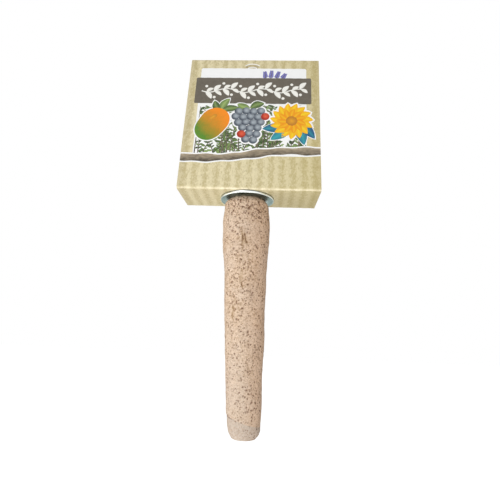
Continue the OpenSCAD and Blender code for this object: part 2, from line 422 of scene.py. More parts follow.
def speck_group(core: float = 0.08) -> bpy.types.NodeTree:
    """Small round specks: the cells of a Voronoi pattern, a share of them filled.

    Args:
        core: the distance from a cell's middle within which a speck is full.
    Returns:
        The group. Its Mask is 1 in the middle of a filled cell and eases to 0 at Size. Its Hollow
        is the same for every cell, filled or not.
    """
    inputs = {"Scale": 900, "Size": 0.4, "Share": 0.5}
    group = SharedGroup("speck", inputs, ["Mask", "Hollow"])
    given = group.given
    sources = {"Vector": given["Vector"], "Scale": given["Scale"]}
    cells = group.node("ShaderNodeTexVoronoi", sources).outputs
    hollow = group.spread(cells["Distance"], core, given["Size"], 1, 0)
    chance = group.node("ShaderNodeSeparateColor", {"Color": cells["Color"]}).outputs["Red"]
    filled = group.math("LESS_THAN", chance, given["Share"])
    group.feed(group.out["Mask"], group.math("MULTIPLY", hollow, filled))
    group.feed(group.out["Hollow"], hollow)
    return group.tree


MOTTLE = mottle_group()
SPECK = speck_group()


@dataclass(frozen=True)
class Mottle:
    """Soft patches with finer grain over them: the scale of each, and the grain's share."""

    patch: float
    grain: float
    share: float


class Sheet(Nodes):
    """The nodes of one material, round its Principled BSDF."""

    def __init__(self, name: str) -> None:
        """Starts a material with a Principled BSDF and its output.

        Args:
            name: the material's name.
        """
        self.material = bpy.data.materials.new(name)
        self.material.use_nodes = True
        super().__init__(self.material.node_tree)
        self.shader = self.tree.nodes["Principled BSDF"]

    def place(self, stretch: Colour = (1, 1, 1)) -> Socket:
        """Object coordinates in metres, times a stretch."""
        where = self.node("ShaderNodeTexCoord").outputs["Object"]
        return self.vector("MULTIPLY", where, stretch)

    def wobbled(self, where: Socket, scale: float, reach_mm: float) -> Socket:
        """Coordinates shifted by a noise, so that a pattern of cells looks grown.

        Args:
            where: the coordinates.
            scale: the noise's scale.
            reach_mm: how far they shift at most.
        Returns:
            The shifted coordinates.
        """
        shift = self.vector("SUBTRACT", self.noise(where, scale).outputs["Color"], (0.5, 0.5, 0.5))
        wide = 2 * reach_mm * MM
        return self.vector("ADD", where, self.vector("MULTIPLY", shift, (wide, wide, wide)))

    def values(self, name: str) -> Socket:
        """The numbers stored for each point under a name, 0 where a piece has none."""
        return self.node("ShaderNodeAttribute", attribute_name=name).outputs["Fac"]

    def mottled(self, where: Socket, look: Mottle) -> Socket:
        """The shared mottle, placed with its own scales."""
        sources = {"Vector": where, "Patch": look.patch, "Grain": look.grain, "Share": look.share}
        return self.node("ShaderNodeGroup", sources, node_tree=MOTTLE).outputs["Value"]

    def specks(self, where: Socket, scale: float, size: Source, share: Source) -> bpy.types.Node:
        """The shared specks, placed with their own scale, size and share."""
        sources = {"Vector": where, "Scale": scale, "Size": size, "Share": share}
        return self.node("ShaderNodeGroup", sources, node_tree=SPECK)

    def bump(self, height: Source, depth_mm: float, strength: float) -> None:
        """Raises the surface by a height, as shading only.

        Args:
            height: the height, from 0 to 1.
            depth_mm: how far a height of 1 lifts it.
            strength: the share of the lift that shows.
        """
        sources = {"Height": height, "Distance": depth_mm * MM, "Strength": strength}
        normal = self.node("ShaderNodeBump", sources).outputs["Normal"]
        self.feed(self.shader.inputs["Normal"], normal)

    def finish(
        self, colour: Source, roughness: Source, others: dict[str, Source] | None = None
    ) -> Material:
        """Feeds the shader's sockets.

        Args:
            colour: its base colour.
            roughness: its roughness.
            others: what its other sockets get, by name.
        Returns:
            The material.
        """
        sources = {"Base Color": colour, "Roughness": roughness, **(others or {})}
        for key, source in sources.items():
            self.feed(self.shader.inputs[key], source)
        return self.material


@dataclass(frozen=True)
class GritFinish:
    """Mineral grit: a matt beige skin, dimpled all over, with brown pits and ochre marks.

    Where two numbers stand for one thing, the first holds where no pits cluster and the second
    where they lie thickest. A range holds the values between which a pattern comes in. A painted
    shade darkens every dimple, and a warm painted shade the right side.
    """

    name: str
    light: Colour
    dark: Colour
    # Dark brown of the veins and pores, also the painted shade in the dimples
    shade: Colour = (0.36, 0.20, 0.095)
    pit: Colour = (0.12, 0.05, 0.026)
    ochre: Colour = (0.36, 0.22, 0.08)
    rosy: Colour = (0.71, 0.585, 0.485)
    pale: Colour = (0.61, 0.505, 0.41)
    # Warm painted shade on the right side
    tan: Colour = (0.76, 0.48, 0.30)
    patches: Mottle = Mottle(260.0, 900.0, 0.75)
    patch_range: Range = (0.36, 0.56)
    cloud_scale: float = 75.0
    cloud_range: Range = (0.42, 0.62)
    rosy_share: float = 0.35
    pale_share: float = 0.5
    wobble_scale: float = 900.0
    wobble_mm: float = 0.35
    filled: float = 0.26
    crowded: float = 0.5
    big_scale: float = 560.0
    big_size: Range = (0.33, 0.51)
    small_scale: float = 900.0
    small_size: float = 0.42
    pore_scale: float = 1350.0
    pore_size: float = 0.5
    pore_count: float = 0.45
    vein_scale: float = 780.0
    vein_range: Range = (0.005, 0.05)
    vein_share: Range = (0.52, 0.82)
    veined: float = 0.45
    # Painted shade in every dimple: where no pits cluster, and where they lie thickest
    dimple_shade: Range = (0.31, 0.11)
    pit_share: Range = (0.55, 1.0)
    ochre_share: float = 0.8
    well_share: float = 0.85
    sand_scale: float = 2100.0
    sand_height: float = 0.45
    dimple_depth: float = 0.5
    relief_mm: float = 0.26
    relief: float = 0.9
    roughness: float = 0.93
    gloss: float = 0.2

    def skin(self, sheet: Sheet, where: Socket) -> Socket:
        """The colour between the pits: patches and rosy clouds, faded by its values, with a warm
        painted shade on the right side.

        Args:
            sheet: the material's nodes.
            where: Object coordinates.
        Returns:
            The colour.
        """
        patch = sheet.spread(sheet.mottled(where, self.patches), *self.patch_range)
        cloud = sheet.noise(where, self.cloud_scale, 2).outputs["Fac"]
        rosy = sheet.spread(cloud, *self.cloud_range, 0, self.rosy_share)
        colour = sheet.blend(rosy, sheet.blend(patch, self.dark, self.light), self.rosy)
        colour = sheet.stain(colour, sheet.values("fade"), self.pale_share, self.pale)
        # Warm painted shade on the right side, by the value tan
        return sheet.blend(sheet.values("tan"), colour, self.tan)

    def veins(self, sheet: Sheet, where: Socket) -> Socket:
        """Fine lines where a noise crosses its middle value.

        Args:
            sheet: the material's nodes.
            where: Object coordinates.
        Returns:
            A mask of the lines.
        """
        noise = sheet.noise(where, self.vein_scale, 2).outputs["Fac"]
        ridge = sheet.math("ABSOLUTE", sheet.math("ADD", noise, -0.5))
        return sheet.spread(ridge, *self.vein_range, self.veined, 0)

    def material(self) -> Material:
        """Builds the material from the values pit, ochre, cluster, fade and tan of each point. The
        value tan is a warm painted shade, and pit also holds a painted shade at the lip.

        Returns:
            The material.
        """
        sheet = Sheet(self.name)
        where = sheet.place()
        grown = sheet.wobbled(where, self.wobble_scale, self.wobble_mm)
        cluster = sheet.values("cluster")
        crowd = sheet.between(cluster, self.filled, self.filled + self.crowded)
        big_size = sheet.between(cluster, *self.big_size)
        big = sheet.specks(grown, self.big_scale, big_size, crowd).outputs
        small = sheet.specks(grown, self.small_scale, self.small_size, crowd).outputs
        pores = sheet.specks(grown, self.pore_scale, self.pore_size, self.pore_count).outputs
        soft = sheet.math("ADD", big["Hollow"], small["Hollow"])
        hard = sheet.math("MAXIMUM", big["Mask"], small["Mask"])
        colour = self.skin(sheet, where)
        for mask, strength, tint in (
            (self.veins(sheet, where), sheet.between(cluster, *self.vein_share), self.shade),
            (pores["Mask"], self.veined, self.shade),
            # Painted shade in every dimple
            (soft, sheet.between(cluster, *self.dimple_shade), self.shade),
            (hard, sheet.between(cluster, *self.pit_share), self.pit),
            (sheet.values("ochre"), self.ochre_share, self.ochre),
            # Pits and stains, and the painted shade at the lip
            (sheet.values("pit"), self.well_share, self.pit),
        ):
            colour = sheet.stain(colour, mask, strength, tint)
        grains = sheet.noise(where, self.sand_scale).outputs["Fac"]
        sand = sheet.math("MULTIPLY", grains, self.sand_height)
        height = sheet.math("MULTIPLY_ADD", soft, -self.dimple_depth, sand)
        sheet.bump(height, self.relief_mm, self.relief)
        return sheet.finish(colour, self.roughness, {"Specular IOR Level": self.gloss})


@dataclass(frozen=True)
class ZincFinish:
    """Zinc plate: a greenish grey metal with soft patches and dull marks, paler on the stud's
    crests and the nut's corners. A washer gets a painted highlight on its rim, a painted sheen over
    its inner part and a painted shadow where its rim meets the card.
    """

    name: str
    light: Colour = (0.27, 0.315, 0.295)
    dark: Colour = (0.125, 0.16, 0.155)
    # Pale tint: painted highlight and sheen on the washers, paler crests and corners on the stud
    # and nut
    edge: Colour = (0.90, 0.93, 0.91)
    # Painted shadow where a washer's rim meets the card
    contact_shade: Colour = (0.05, 0.055, 0.05)
    glance: Colour = (0.55, 0.62, 0.60)
    patches: Mottle = Mottle(170.0, 1100.0, 0.35)
    patch_range: Range = (0.36, 0.62)
    dull_range: Range = (0.3, 0.7)
    dullness: Range = (0.24, 0.5)
    relief_mm: float = 0.06
    relief: float = 0.4

    def material(self) -> Material:
        """Builds the material from two values of each point: one pales the metal towards the edge
        tint, the other darkens it as a painted shadow.

        Returns:
            The material.
        """
        sheet = Sheet(self.name)
        patch = sheet.mottled(sheet.place(), self.patches)
        colour = sheet.blend(sheet.spread(patch, *self.patch_range), self.dark, self.light)
        # Paler edges with the washers' painted highlight and sheen, then their painted shadow at
        # the rim
        colour = sheet.blend(sheet.values("edge"), colour, self.edge)
        colour = sheet.blend(sheet.values("contact_shade"), colour, self.contact_shade)
        dullness = sheet.spread(patch, *self.dull_range, *self.dullness)
        sheet.bump(patch, self.relief_mm, self.relief)
        return sheet.finish(colour, dullness, {"Metallic": 1.0, "Specular Tint": self.glance})


@dataclass(frozen=True)
class CardFinish:
    """Kraft paper on corrugated board: painted shade in stripes over the flutes, fibres, flecks and
    pale creases.

    A painted shade darkens both ends of the card, and another darkens and yellows it towards the
    right.
    """

    name: str
    light: Colour
    dark: Colour
    creased: bool = False
    # Painted shade in stripes that follow the flutes
    flute_shade: float = 0.16
    # Brown of the flecks, also the painted shade at both ends
    fleck_and_shade: Colour = (0.33, 0.26, 0.12)
    # Painted shade towards the right
    right_shade: Colour = (0.42, 0.33, 0.05)
    crease: Colour = (0.98, 0.88, 0.64)
    flute_mm: float = 6.3
    middle_mm: float = 1.3
    half_mm: float = 41.0
    fibres: Colour = (1.0, 1.0, 0.6)
    patches: Mottle = Mottle(620.0, 1300.0, 0.55)
    patch_range: Range = (0.33, 0.64)
    fleck_scale: float = 720.0
    fleck_size: float = 0.4
    fleck_count: float = 0.3
    fleck_share: float = 0.35
    # Painted shade at both ends, and towards the right
    end_mm: float = 6.0
    end_shade_share: float = 0.28
    right_shade_from_mm: float = -5.0
    right_shade_share: float = 0.24
    worn_range: Range = (0.3, 0.55)
    worn_least: float = 0.55
    relief_mm: float = 0.06
    relief: float = 0.5
    roughness: float = 0.86
    gloss: float = 0.25

    def material(self) -> Material:
        """Builds the material. A creased paper reads the value crease of each point.

        Returns:
            The material.
        """
        sheet = Sheet(self.name)
        fibres = sheet.place(self.fibres)
        patch = sheet.mottled(fibres, self.patches)
        across = sheet.node("ShaderNodeSeparateXYZ", {0: sheet.place()}).outputs["X"]
        phase = sheet.math("ADD", across, -self.middle_mm * MM)
        turns = sheet.math("MULTIPLY", phase, TURN / (self.flute_mm * MM))
        # Painted shade in stripes over the flutes
        tone = sheet.math("MULTIPLY_ADD", sheet.math("COSINE", turns), -0.5 * self.flute_shade, patch)
        colour = sheet.blend(sheet.spread(tone, *self.patch_range), self.dark, self.light)
        flecks = sheet.specks(fibres, self.fleck_scale, self.fleck_size, self.fleck_count)
        colour = sheet.stain(colour, flecks.outputs["Mask"], self.fleck_share, self.fleck_and_shade)
        # Painted shade at both ends, and towards the right
        half, away = self.half_mm * MM, sheet.math("ABSOLUTE", phase)
        ends = sheet.spread(away, (self.half_mm - self.end_mm) * MM, half, 0, self.end_shade_share)
        colour = sheet.blend(ends, colour, self.fleck_and_shade)
        right_shade = sheet.spread(phase, self.right_shade_from_mm * MM, half, 0, self.right_shade_share)
        colour = sheet.blend(right_shade, colour, self.right_shade)
        if self.creased:
            lightening = sheet.spread(patch, *self.worn_range, self.worn_least, 1)
            colour = sheet.stain(colour, sheet.values("crease"), lightening, self.crease)
        sheet.bump(patch, self.relief_mm, self.relief)
        return sheet.finish(colour, self.roughness, {"Specular IOR Level": self.gloss})


@dataclass(frozen=True)
class WoodFinish:
    """Bare wood of the branch, with grain along it."""

    name: str
    light: Colour = (0.62, 0.44, 0.26)
    dark: Colour = (0.42, 0.27, 0.14)
    stretch: Colour = (1.0, 1.0, 0.06)
    grain: Mottle = Mottle(500.0, 2600.0, 0.5)
    grain_range: Range = (0.35, 0.65)
    relief_mm: float = 0.15
    relief: float = 0.6
    roughness: float = 0.8

    def material(self) -> Material:
        """Builds the material from a mottle drawn out along the branch.

        Returns:
            The material.
        """
        sheet = Sheet(self.name)
        grain = sheet.mottled(sheet.place(self.stretch), self.grain)
        colour = sheet.blend(sheet.spread(grain, *self.grain_range), self.dark, self.light)
        sheet.bump(grain, self.relief_mm, self.relief)
        return sheet.finish(colour, self.roughness)


@dataclass(frozen=True)
class InkFinish:
    """Printed ink on card: two tones, mixed by the value tone of each point and a fine mottle."""

    name: str
    light: Colour
    dark: Colour
    mottle: float
    stretch: Colour = (1.0, 1.0, 1.0)
    grain: float = 1500.0
    patch: float = 420.0
    grain_share: float = 0.55
    relief_mm: float = 0.02
    relief: float = 0.3
    roughness: float = 0.55
    gloss: float = 0.35

    def material(self) -> Material:
        """Builds the material.

        Returns:
            The material.
        """
        sheet = Sheet(self.name)
        look = Mottle(self.patch, self.grain, self.grain_share)
        patch = sheet.mottled(sheet.place(self.stretch), look)
        shift = sheet.between(patch, -self.mottle, self.mottle)
        tone = sheet.math("ADD", sheet.values("tone"), shift)
        share = sheet.node("ShaderNodeClamp", {"Value": tone}).outputs["Result"]
        colour = sheet.blend(share, self.dark, self.light)
        sheet.bump(patch, self.relief_mm, self.relief)
        return sheet.finish(colour, self.roughness, {"Specular IOR Level": self.gloss})


# Branch


@dataclass(frozen=True)
class Groove:
    """A crack or scar from one place on the branch to another.

    Places are a share of the length and an angle in degrees; half width and depth are in
    millimetres; ochre and dark say how much the crack is stained.
    """

    start: Place
    end: Place
    half: float
    deep: float
    ochre: float
    dark: float


@dataclass(frozen=True)
class Pits:
    """A scatter of round pits.

    It has the number tried, its seed, the smallest and largest radius, how rare the large ones
    are, the share that lies outside the clusters, and how many rows and columns a pit may reach.
    Then come how much longer than wide a pit is, the depth share added to its size, and how
    quickly its wall falls, with the power of that fall.
    """

    count: int
    seed: int
    small: float
    large: float
    rarity: float = 2.2
    stray: float = 0.35
    reach: int = 8
    long: Range = (0.8, 1.6)
    deepen: float = 0.35
    fall: float = 1.4
    power: float = 1.5


def line_distance(up: Array, side: Array, start: Place, end: Place) -> Array:
    """Distance from the straight line between two places, which ends at both.

    Args:
        up: place along the branch, in millimetres.
        side: place round it, in millimetres.
        start: the line's start.
        end: the line's end.
    Returns:
        The distance in millimetres.
    """
    (u0, w0), (u1, w1) = start, end
    du, dw = u1 - u0, w1 - w0
    t = np.clip(((up - u0) * du + (side - w0) * dw) / (du * du + dw * dw), 0, 1)
    return np.hypot(up - u0 - t * du, side - w0 - t * dw)


@dataclass
class CoatedBranch:
    """The tapered branch's two coats, on the same rings as its solids."""

    body: str = "perch"
    length: float = 132.2
    tip_t: float = 0.4
    grit_t: float = 0.9
    grit_least: float = 0.3
    radius: float = 13.05
    top_z: float = -1.55
    top_shift: float = 0.3
    tip_shift: float = 3.4
    bow: float = 0.8
    sway: float = 0.35
    oval: float = 0.012
    oval_deg: float = 80
    lobe: float = 0.008
    lobe_twist_deg: float = 150
    knot_h: float = 0.45
    knot_w: float = 7.5
    knot_share: float = 0.17
    knot_deg: float = -92
    ledge_share: float = 0.936
    ledge_ease: float = 0.14
    ledge_slope: float = 0.3
    ripple: float = 0.144
    ripple_turn_deg: float = 1250
    brim_l: float = 1.6
    brim_ease: float = 1.2
    brim_share: float = 0.6
    shoulder_h: float = 0.7
    shoulder_share: float = 0.022
    shoulder_wide: float = 0.018
    lip_l: float = 0.9
    lip_r: float = 0.4
    thin_l: float = 9.0
    pit_depth: float = 0.26
    tip_pit_depth: float = 0.18
    tip_swell: float = 0.15
    face_rough: float = 0.12
    table_points: int = 1601
    ease_points: int = 12
    ease_share: float = 0.02
    sides: int = 216
    edge_rows: int = 9
    side_rows: int = 424
    inner_rows: int = 20
    tip_rows: int = 52
    face_rows: int = 26
    tip_inner_rows: int = 12
    inner_face_rows: int = 6
    face_hole: float = 0.02
    mid_radius: float = 11.5
    soft_deg: float = 70
    grit_pits: Pits = Pits(1500, 5, 0.3, 0.72)
    tip_pits: Pits = Pits(90, 14, 0.3, 0.6)
    pit_range: Range = (0.4, 0.95)
    # Where the pits crowd: middle and width of a bell along the branch, the angle, the amount
    crowd_at: Place = (0.045, 0.055)
    crowd_deg: float = -50
    brim_wide: float = 0.028
    brim_crowd: float = 0.75
    right_deg: float = -40
    right_crowd: float = 0.2
    lower_at: Place = (0.68, 0.15)
    lower_crowd: float = 0.15
    # Widths of a groove's line and of its ochre stain, in half widths, and a single pit's depth
    groove_wide: float = 0.8
    stain_wide: float = 1.4
    single_depth: float = 0.4
    # Cosines of the angle between which the coat goes from its left side to the rest
    right_range: Range = (-0.92, -0.3)
    grit_lumps: tuple[Lumps, ...] = (
        Lumps(0.10, (11, 18), 1), Lumps(0.09, (34, 58), 2), Lumps(0.07, (78, 124), 3),
    )
    tip_lumps: tuple[Lumps, ...] = (Lumps(0.06, (22, 5), 11), Lumps(0.04, (60, 12), 12))
    face_lumps: tuple[Lumps, ...] = (Lumps(1.0, (24, 9), 13),)
    patchiness: tuple[Lumps, ...] = (Lumps(0.3, (9, 16), 41), Lumps(0.2, (21, 40), 43))
    frayed: tuple[Lumps, ...] = (Lumps(0.22, (60, 110), 17),)
    # Radius along the branch: share of the length, share of the radius
    shares: tuple[Place, ...] = (
        (0, 0.75), (0.01, 0.82), (0.022, 0.875), (0.045, 0.94), (0.075, 0.98), (0.11, 1),
        (0.2, 0.977), (0.27, 0.923), (0.335, 0.862), (0.4, 0.845), (0.5, 0.813), (0.6, 0.79),
        (0.7, 0.738), (0.8, 0.7), (0.9, 0.685), (0.936, 0.672), (0.965, 0.655), (0.985, 0.605),
        (1, 0.48),
    )
    grooves: tuple[Groove, ...] = (
        Groove((0.150, -98), (0.167, -94), 0.24, 0.14, 0.35, 0.3),
        Groove((0.168, -96.5), (0.197, -94), 0.38, 0.42, 1.0, 0.75),
        Groove((0.199, -93.5), (0.224, -97), 0.33, 0.3, 0.95, 0.5),
        Groove((0.173, -90), (0.190, -88.5), 0.3, 0.3, 0.8, 0.55),
        Groove((0.193, -88.5), (0.215, -85), 0.34, 0.32, 0.9, 0.6),
        Groove((0.192, -91), (0.212, -88), 0.9, 0.1, 0.7, 0.0),
        Groove((0.226, -92), (0.245, -95), 0.28, 0.2, 0.55, 0.3),
        Groove((0.220, -84), (0.243, -86), 0.28, 0.2, 0.6, 0.3),
        Groove((0.132, -108), (0.130, -102), 0.32, 0.28, 0.3, 0.55),
        Groove((0.130, -102), (0.129, -96), 0.28, 0.18, 0.3, 0.3),
        Groove((0.381, -97.5), (0.401, -94.5), 0.28, 0.3, 0.9, 0.6),
        Groove((0.484, -120), (0.500, -118), 0.45, 0.2, 0.7, 0.2),
        Groove((0.507, -121), (0.528, -121.5), 0.5, 0.22, 0.8, 0.25),
        Groove((0.330, -97), (0.372, -96), 0.5, 0.08, 0.45, 0.0),
    )
    # Single pits on the front: share of the length, degrees, radius, darkness
    single_pits: tuple[tuple[float, float, float, float], ...] = (
        (0.370, -76.5, 0.5, 0.8), (0.390, -79.5, 0.62, 1.0), (0.4175, -75, 0.55, 0.7),
        (0.451, -66, 0.55, 0.7), (0.583, -76.5, 0.62, 1.0), (0.559, -48, 0.5, 0.7),
        (0.546, -121.5, 0.45, 0.7), (0.741, -108, 0.5, 0.8), (0.779, -52.5, 0.55, 1.0),
        (0.810, -81, 0.5, 0.7), (0.8075, -64.5, 0.75, 0.5), (0.811, -43.5, 0.5, 0.8),
        (0.887, -75, 0.65, 0.9), (0.909, -124.5, 0.6, 0.6), (0.816, -120, 0.45, 0.7),
        (0.247, -111, 0.4, 0.8), (0.248, -107, 0.35, 0.6), (0.067, -57, 0.6, 0.9),
        (0.060, -61.5, 0.65, 1.0), (0.073, -48, 0.6, 0.9), (0.084, -66, 0.5, 0.7),
        (0.035, -102, 0.5, 0.9), (0.042, -84, 0.5, 0.8), (0.0375, -51, 0.6, 0.8),
        (0.058, -97.5, 0.55, 0.6), (0.050, -70, 0.5, 0.7), (0.078, -55, 0.5, 0.8),
    )

    @property
    def bare_length(self) -> float:
        """Length of the bare branch, without the coat on its end face."""
        return self.length - self.tip_t

    def bare_radius(self, s: Array, a: Array) -> Array:
        """Radius of the bare branch: a table along it, an oval, three lobes and the knot.

        The table's corners are eased by a moving average, but not at its two ends.

        Args:
            s: share of the length below the top face.
            a: angle round the axis, in radians.
        Returns:
            The radius in millimetres.
        """
        table = np.array(self.shares)
        fine = np.linspace(0, 1, self.table_points)
        raw = np.interp(fine, table[:, 0], table[:, 1])
        window = np.hanning(2 * self.ease_points + 1)
        padded = np.pad(raw, self.ease_points, mode="edge")
        eased = np.convolve(padded, window / window.sum(), mode="valid")
        keep = smoothstep(0.0, self.ease_share, fine) * smoothstep(0.0, self.ease_share, 1 - fine)
        r = self.radius * np.interp(s, fine, raw + (eased - raw) * keep)
        oval = self.oval * np.cos(2 * a - math.radians(self.oval_deg))
        lobes = self.lobe * np.cos(3 * a + math.radians(self.lobe_twist_deg) * s)
        off = a - math.radians(self.knot_deg)
        knot = np.exp(
            -(((s - self.knot_share) * self.bare_length / self.knot_w * 2) ** 2)
            - (np.sin(off) * r / self.knot_w * 2) ** 2
        )
        return r * (1 + oval + lobes) + self.knot_h * knot * (np.cos(off) > 0)

    def oblique(self, s: Array) -> Array:
        """How oblique the rings are: 1 on the ledge, easing to 0 above it and at the tip."""
        above = np.clip(1 - (self.ledge_share - s) / self.ledge_ease, 0, None)
        return np.where(s <= self.ledge_share, above, (1 - s) / (1 - self.ledge_share))

    def place(self, s: Array, a: Array, r: Array) -> Array:
        """Points at a radius from the bowed, shifted axis, on rings that tilt towards the ledge.

        Args:
            s: share of the length below the top face.
            a: angle round the axis, in radians.
            r: radius in millimetres.
        Returns:
            The points.
        """
        bend = np.sin(math.pi * s)
        x = -self.top_shift + (self.tip_shift + self.top_shift) * s - self.sway * bend
        y = self.bow * bend + r * np.sin(a)
        z = self.top_z - self.bare_length * s - self.ledge_slope * self.oblique(s) * r * np.cos(a)
        return np.stack([x + r * np.cos(a), y, z], -1)

    def grid(self, s: Array) -> tuple[Array, Array]:
        """The shares and the angles as two full grids."""
        return np.meshgrid(s, angles(self.sides), indexing="ij")

    def flat(self, s: Array, deg: Array) -> tuple[Array, Array]:
        """Millimetres along the branch and round it, for a share and an angle in degrees."""
        return s * self.bare_length, np.radians(deg) * self.mid_radius

    def pit_field(self, s: Array, pits: Pits) -> Array:
        """Depth of scattered pits: each a round well, more of them where they cluster.

        A well is e to minus a power of the distance over its radius.

        Args:
            s: shares of the length, as a grid with rows along the branch.
            pits: the scatter.
        Returns:
            The deepest pit's depth at each point, from 0 to 1.
        """
        rng = np.random.default_rng(pits.seed)
        ps, pa = rng.uniform(s.min(), s.max(), pits.count), rng.uniform(0, TURN, pits.count)
        size = pits.small + (pits.large - pits.small) * rng.random(pits.count) ** pits.rarity
        keep = rng.random(pits.count) < pits.stray + (1 - pits.stray) * self.cluster(ps, pa)
        ps, pa, size = ps[keep], pa[keep], size[keep]
        long = size * rng.uniform(*pits.long, len(size))
        rows, cols = s.shape
        near = np.searchsorted(s[:, 0], ps)
        about = np.arange(-pits.reach, pits.reach + 1)
        row = near[:, None, None] + about[None, :, None]
        col = np.round(pa / TURN * cols)[:, None, None].astype(int) + about[None, None, :]
        inside = (row >= 0) & (row < rows)
        row, col = np.broadcast_arrays(np.clip(row, 0, rows - 1), col)
        up = (s[row, 0] - ps[:, None, None]) * self.bare_length / long[:, None, None]
        side = (col * TURN / cols - pa[:, None, None]) * self.mid_radius / size[:, None, None]
        share = np.clip(size / pits.large + pits.deepen, 0, 1)[:, None, None]
        depth = np.exp(-pits.fall * (up**2 + side**2) ** pits.power) * share * inside
        wells = np.zeros(s.shape)
        np.maximum.at(wells, (row, col % cols), depth)
        return wells

    def cluster(self, s: Array, a: Array) -> Array:
        """How thickly the pits lie: thick on the shoulder's right, thin on the left.

        Args:
            s: share of the length.
            a: angle round the axis, in radians.
        Returns:
            The thickness, from 0 to 1.
        """
        shoulder = bell(s, *self.crowd_at) * (0.25 + 0.7 * np.cos(a - math.radians(self.crowd_deg)))
        brim = self.brim_crowd * bell(s, 0, self.brim_wide)
        right = self.right_crowd * (1 + np.cos(a - math.radians(self.right_deg)))
        patches = roughened(0, a / TURN, s, self.patchiness)
        lower = self.lower_crowd * bell(s, *self.lower_at)
        return np.clip(shoulder + brim + right + patches + lower, 0, 1)

    def tan(self, a: Array) -> Array:
        """How much warm painted shade the coat gets, from 0 to 0.4: more on the right."""
        return 0.4 * smoothstep(-0.2, 0.9, np.cos(a))

    def marks(self, s: Array, a: Array) -> tuple[Array, Array, Array]:
        """The grooves, as bells of the distance from frayed lines, and the single round pits.

        Args:
            s: shares of the length, as a grid.
            a: angles, as a grid.
        Returns:
            Depth in millimetres, ochre share and dark share.
        """
        deep, ochre, dark = np.zeros(s.shape), np.zeros(s.shape), np.zeros(s.shape)
        up, side = self.flat(s, np.degrees((a + math.pi) % TURN - math.pi))
        frayed = roughened(0, a / TURN, s, self.frayed)
        for groove in self.grooves:
            start, end = self.flat(*groove.start), self.flat(*groove.end)
            away = (line_distance(up, side, start, end) + frayed) / groove.half
            line = bell(away, 0, self.groove_wide)
            deep = np.maximum(deep, groove.deep * line)
            dark = np.maximum(dark, min(1.0, 1.5 * groove.dark) * line)
            ochre = np.maximum(ochre, 0.8 * groove.ochre * bell(away, 0, self.stain_wide))
        for share, deg, radius, strength in self.single_pits:
            pit_up, pit_side = self.flat(share, deg)
            away = np.hypot(up - pit_up, side - pit_side) / radius
            well = strength * np.exp(-1.3 * away**2.4)
            deep = np.maximum(deep, self.single_depth * well)
            dark = np.maximum(dark, well)
        return deep, ochre, dark

    def grit_coat(self) -> Piece:
        """The pitted coat from the shoulder to the ledge, closed over the bare branch inside.

        Radius: bare radius plus the coat, plus lumps of three sizes, less pits and grooves. The
        coat ends on the left in a sharp lip with a small rounding, and thins out on the right.

        Returns:
            The piece.
        """
        long = self.ledge_share * self.bare_length
        stretches = [
            np.linspace(0, self.brim_l, self.edge_rows),
            np.linspace(self.brim_l, long - self.lip_l, self.side_rows)[1:],
            np.linspace(long - self.lip_l, long, self.edge_rows)[1:],
        ]
        s, a = self.grid(np.concatenate(stretches) / self.bare_length)
        down = s * self.bare_length
        left = 1 - smoothstep(*self.right_range, np.cos(a))
        pit = self.pit_field(s, self.grit_pits)
        deep, ochre, dark = self.marks(s, a)
        ripple = self.ripple * np.sin(5 * a + math.radians(self.ripple_turn_deg) * s)
        ripple = ripple * np.sin(math.pi * s / self.ledge_share)
        lumps = roughened(ripple, a / TURN, s, self.grit_lumps)
        coat = self.grit_t + lumps - self.pit_depth * pit - deep
        coat = coat * (1 - 0.5 * (1 - left) * (1 - smoothstep(0, self.thin_l, long - down)))
        near_lip = 1 - np.clip((long - down) / self.lip_r, 0, 1)
        lip = np.sqrt(np.clip(1 - near_lip**2, 0, 1))
        coat = np.maximum(coat, self.grit_least) * (1 - 0.5 * (1 - lip) * left)
        coat *= self.brim_share + (1 - self.brim_share) * smoothstep(0, self.brim_ease, down)
        coat += self.shoulder_h * bell(s, self.shoulder_share, self.shoulder_wide)
        outer = self.place(s, a, self.bare_radius(s, a) + coat)
        si, ai = self.grid(np.linspace(self.ledge_share, 0, self.inner_rows))
        inner = self.place(si, ai, self.bare_radius(si, ai))
        points = np.concatenate([outer, inner])
        faces = ring_faces(len(points), self.sides, True)
        piece = make_piece("grit_skin", points.reshape(-1, 3), faces, self.soft_deg)
        # Painted shade in the crevice at the lip, on its left side
        lip_shade = 0.55 * left * (1 - smoothstep(0.0, 0.35, long - down))
        wells = smoothstep(*self.pit_range, pit) * 0.75
        # The value tan is a warm painted shade on the right side
        set_values(
            piece,
            {
                "pit": np.maximum.reduce([wells, dark, lip_shade]),
                "ochre": ochre,
                "cluster": self.cluster(s, a),
                "fade": smoothstep(0.5, 0.93, s),
                "tan": self.tan(a),
            },
        )
        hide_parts("grit_coat")
        return piece

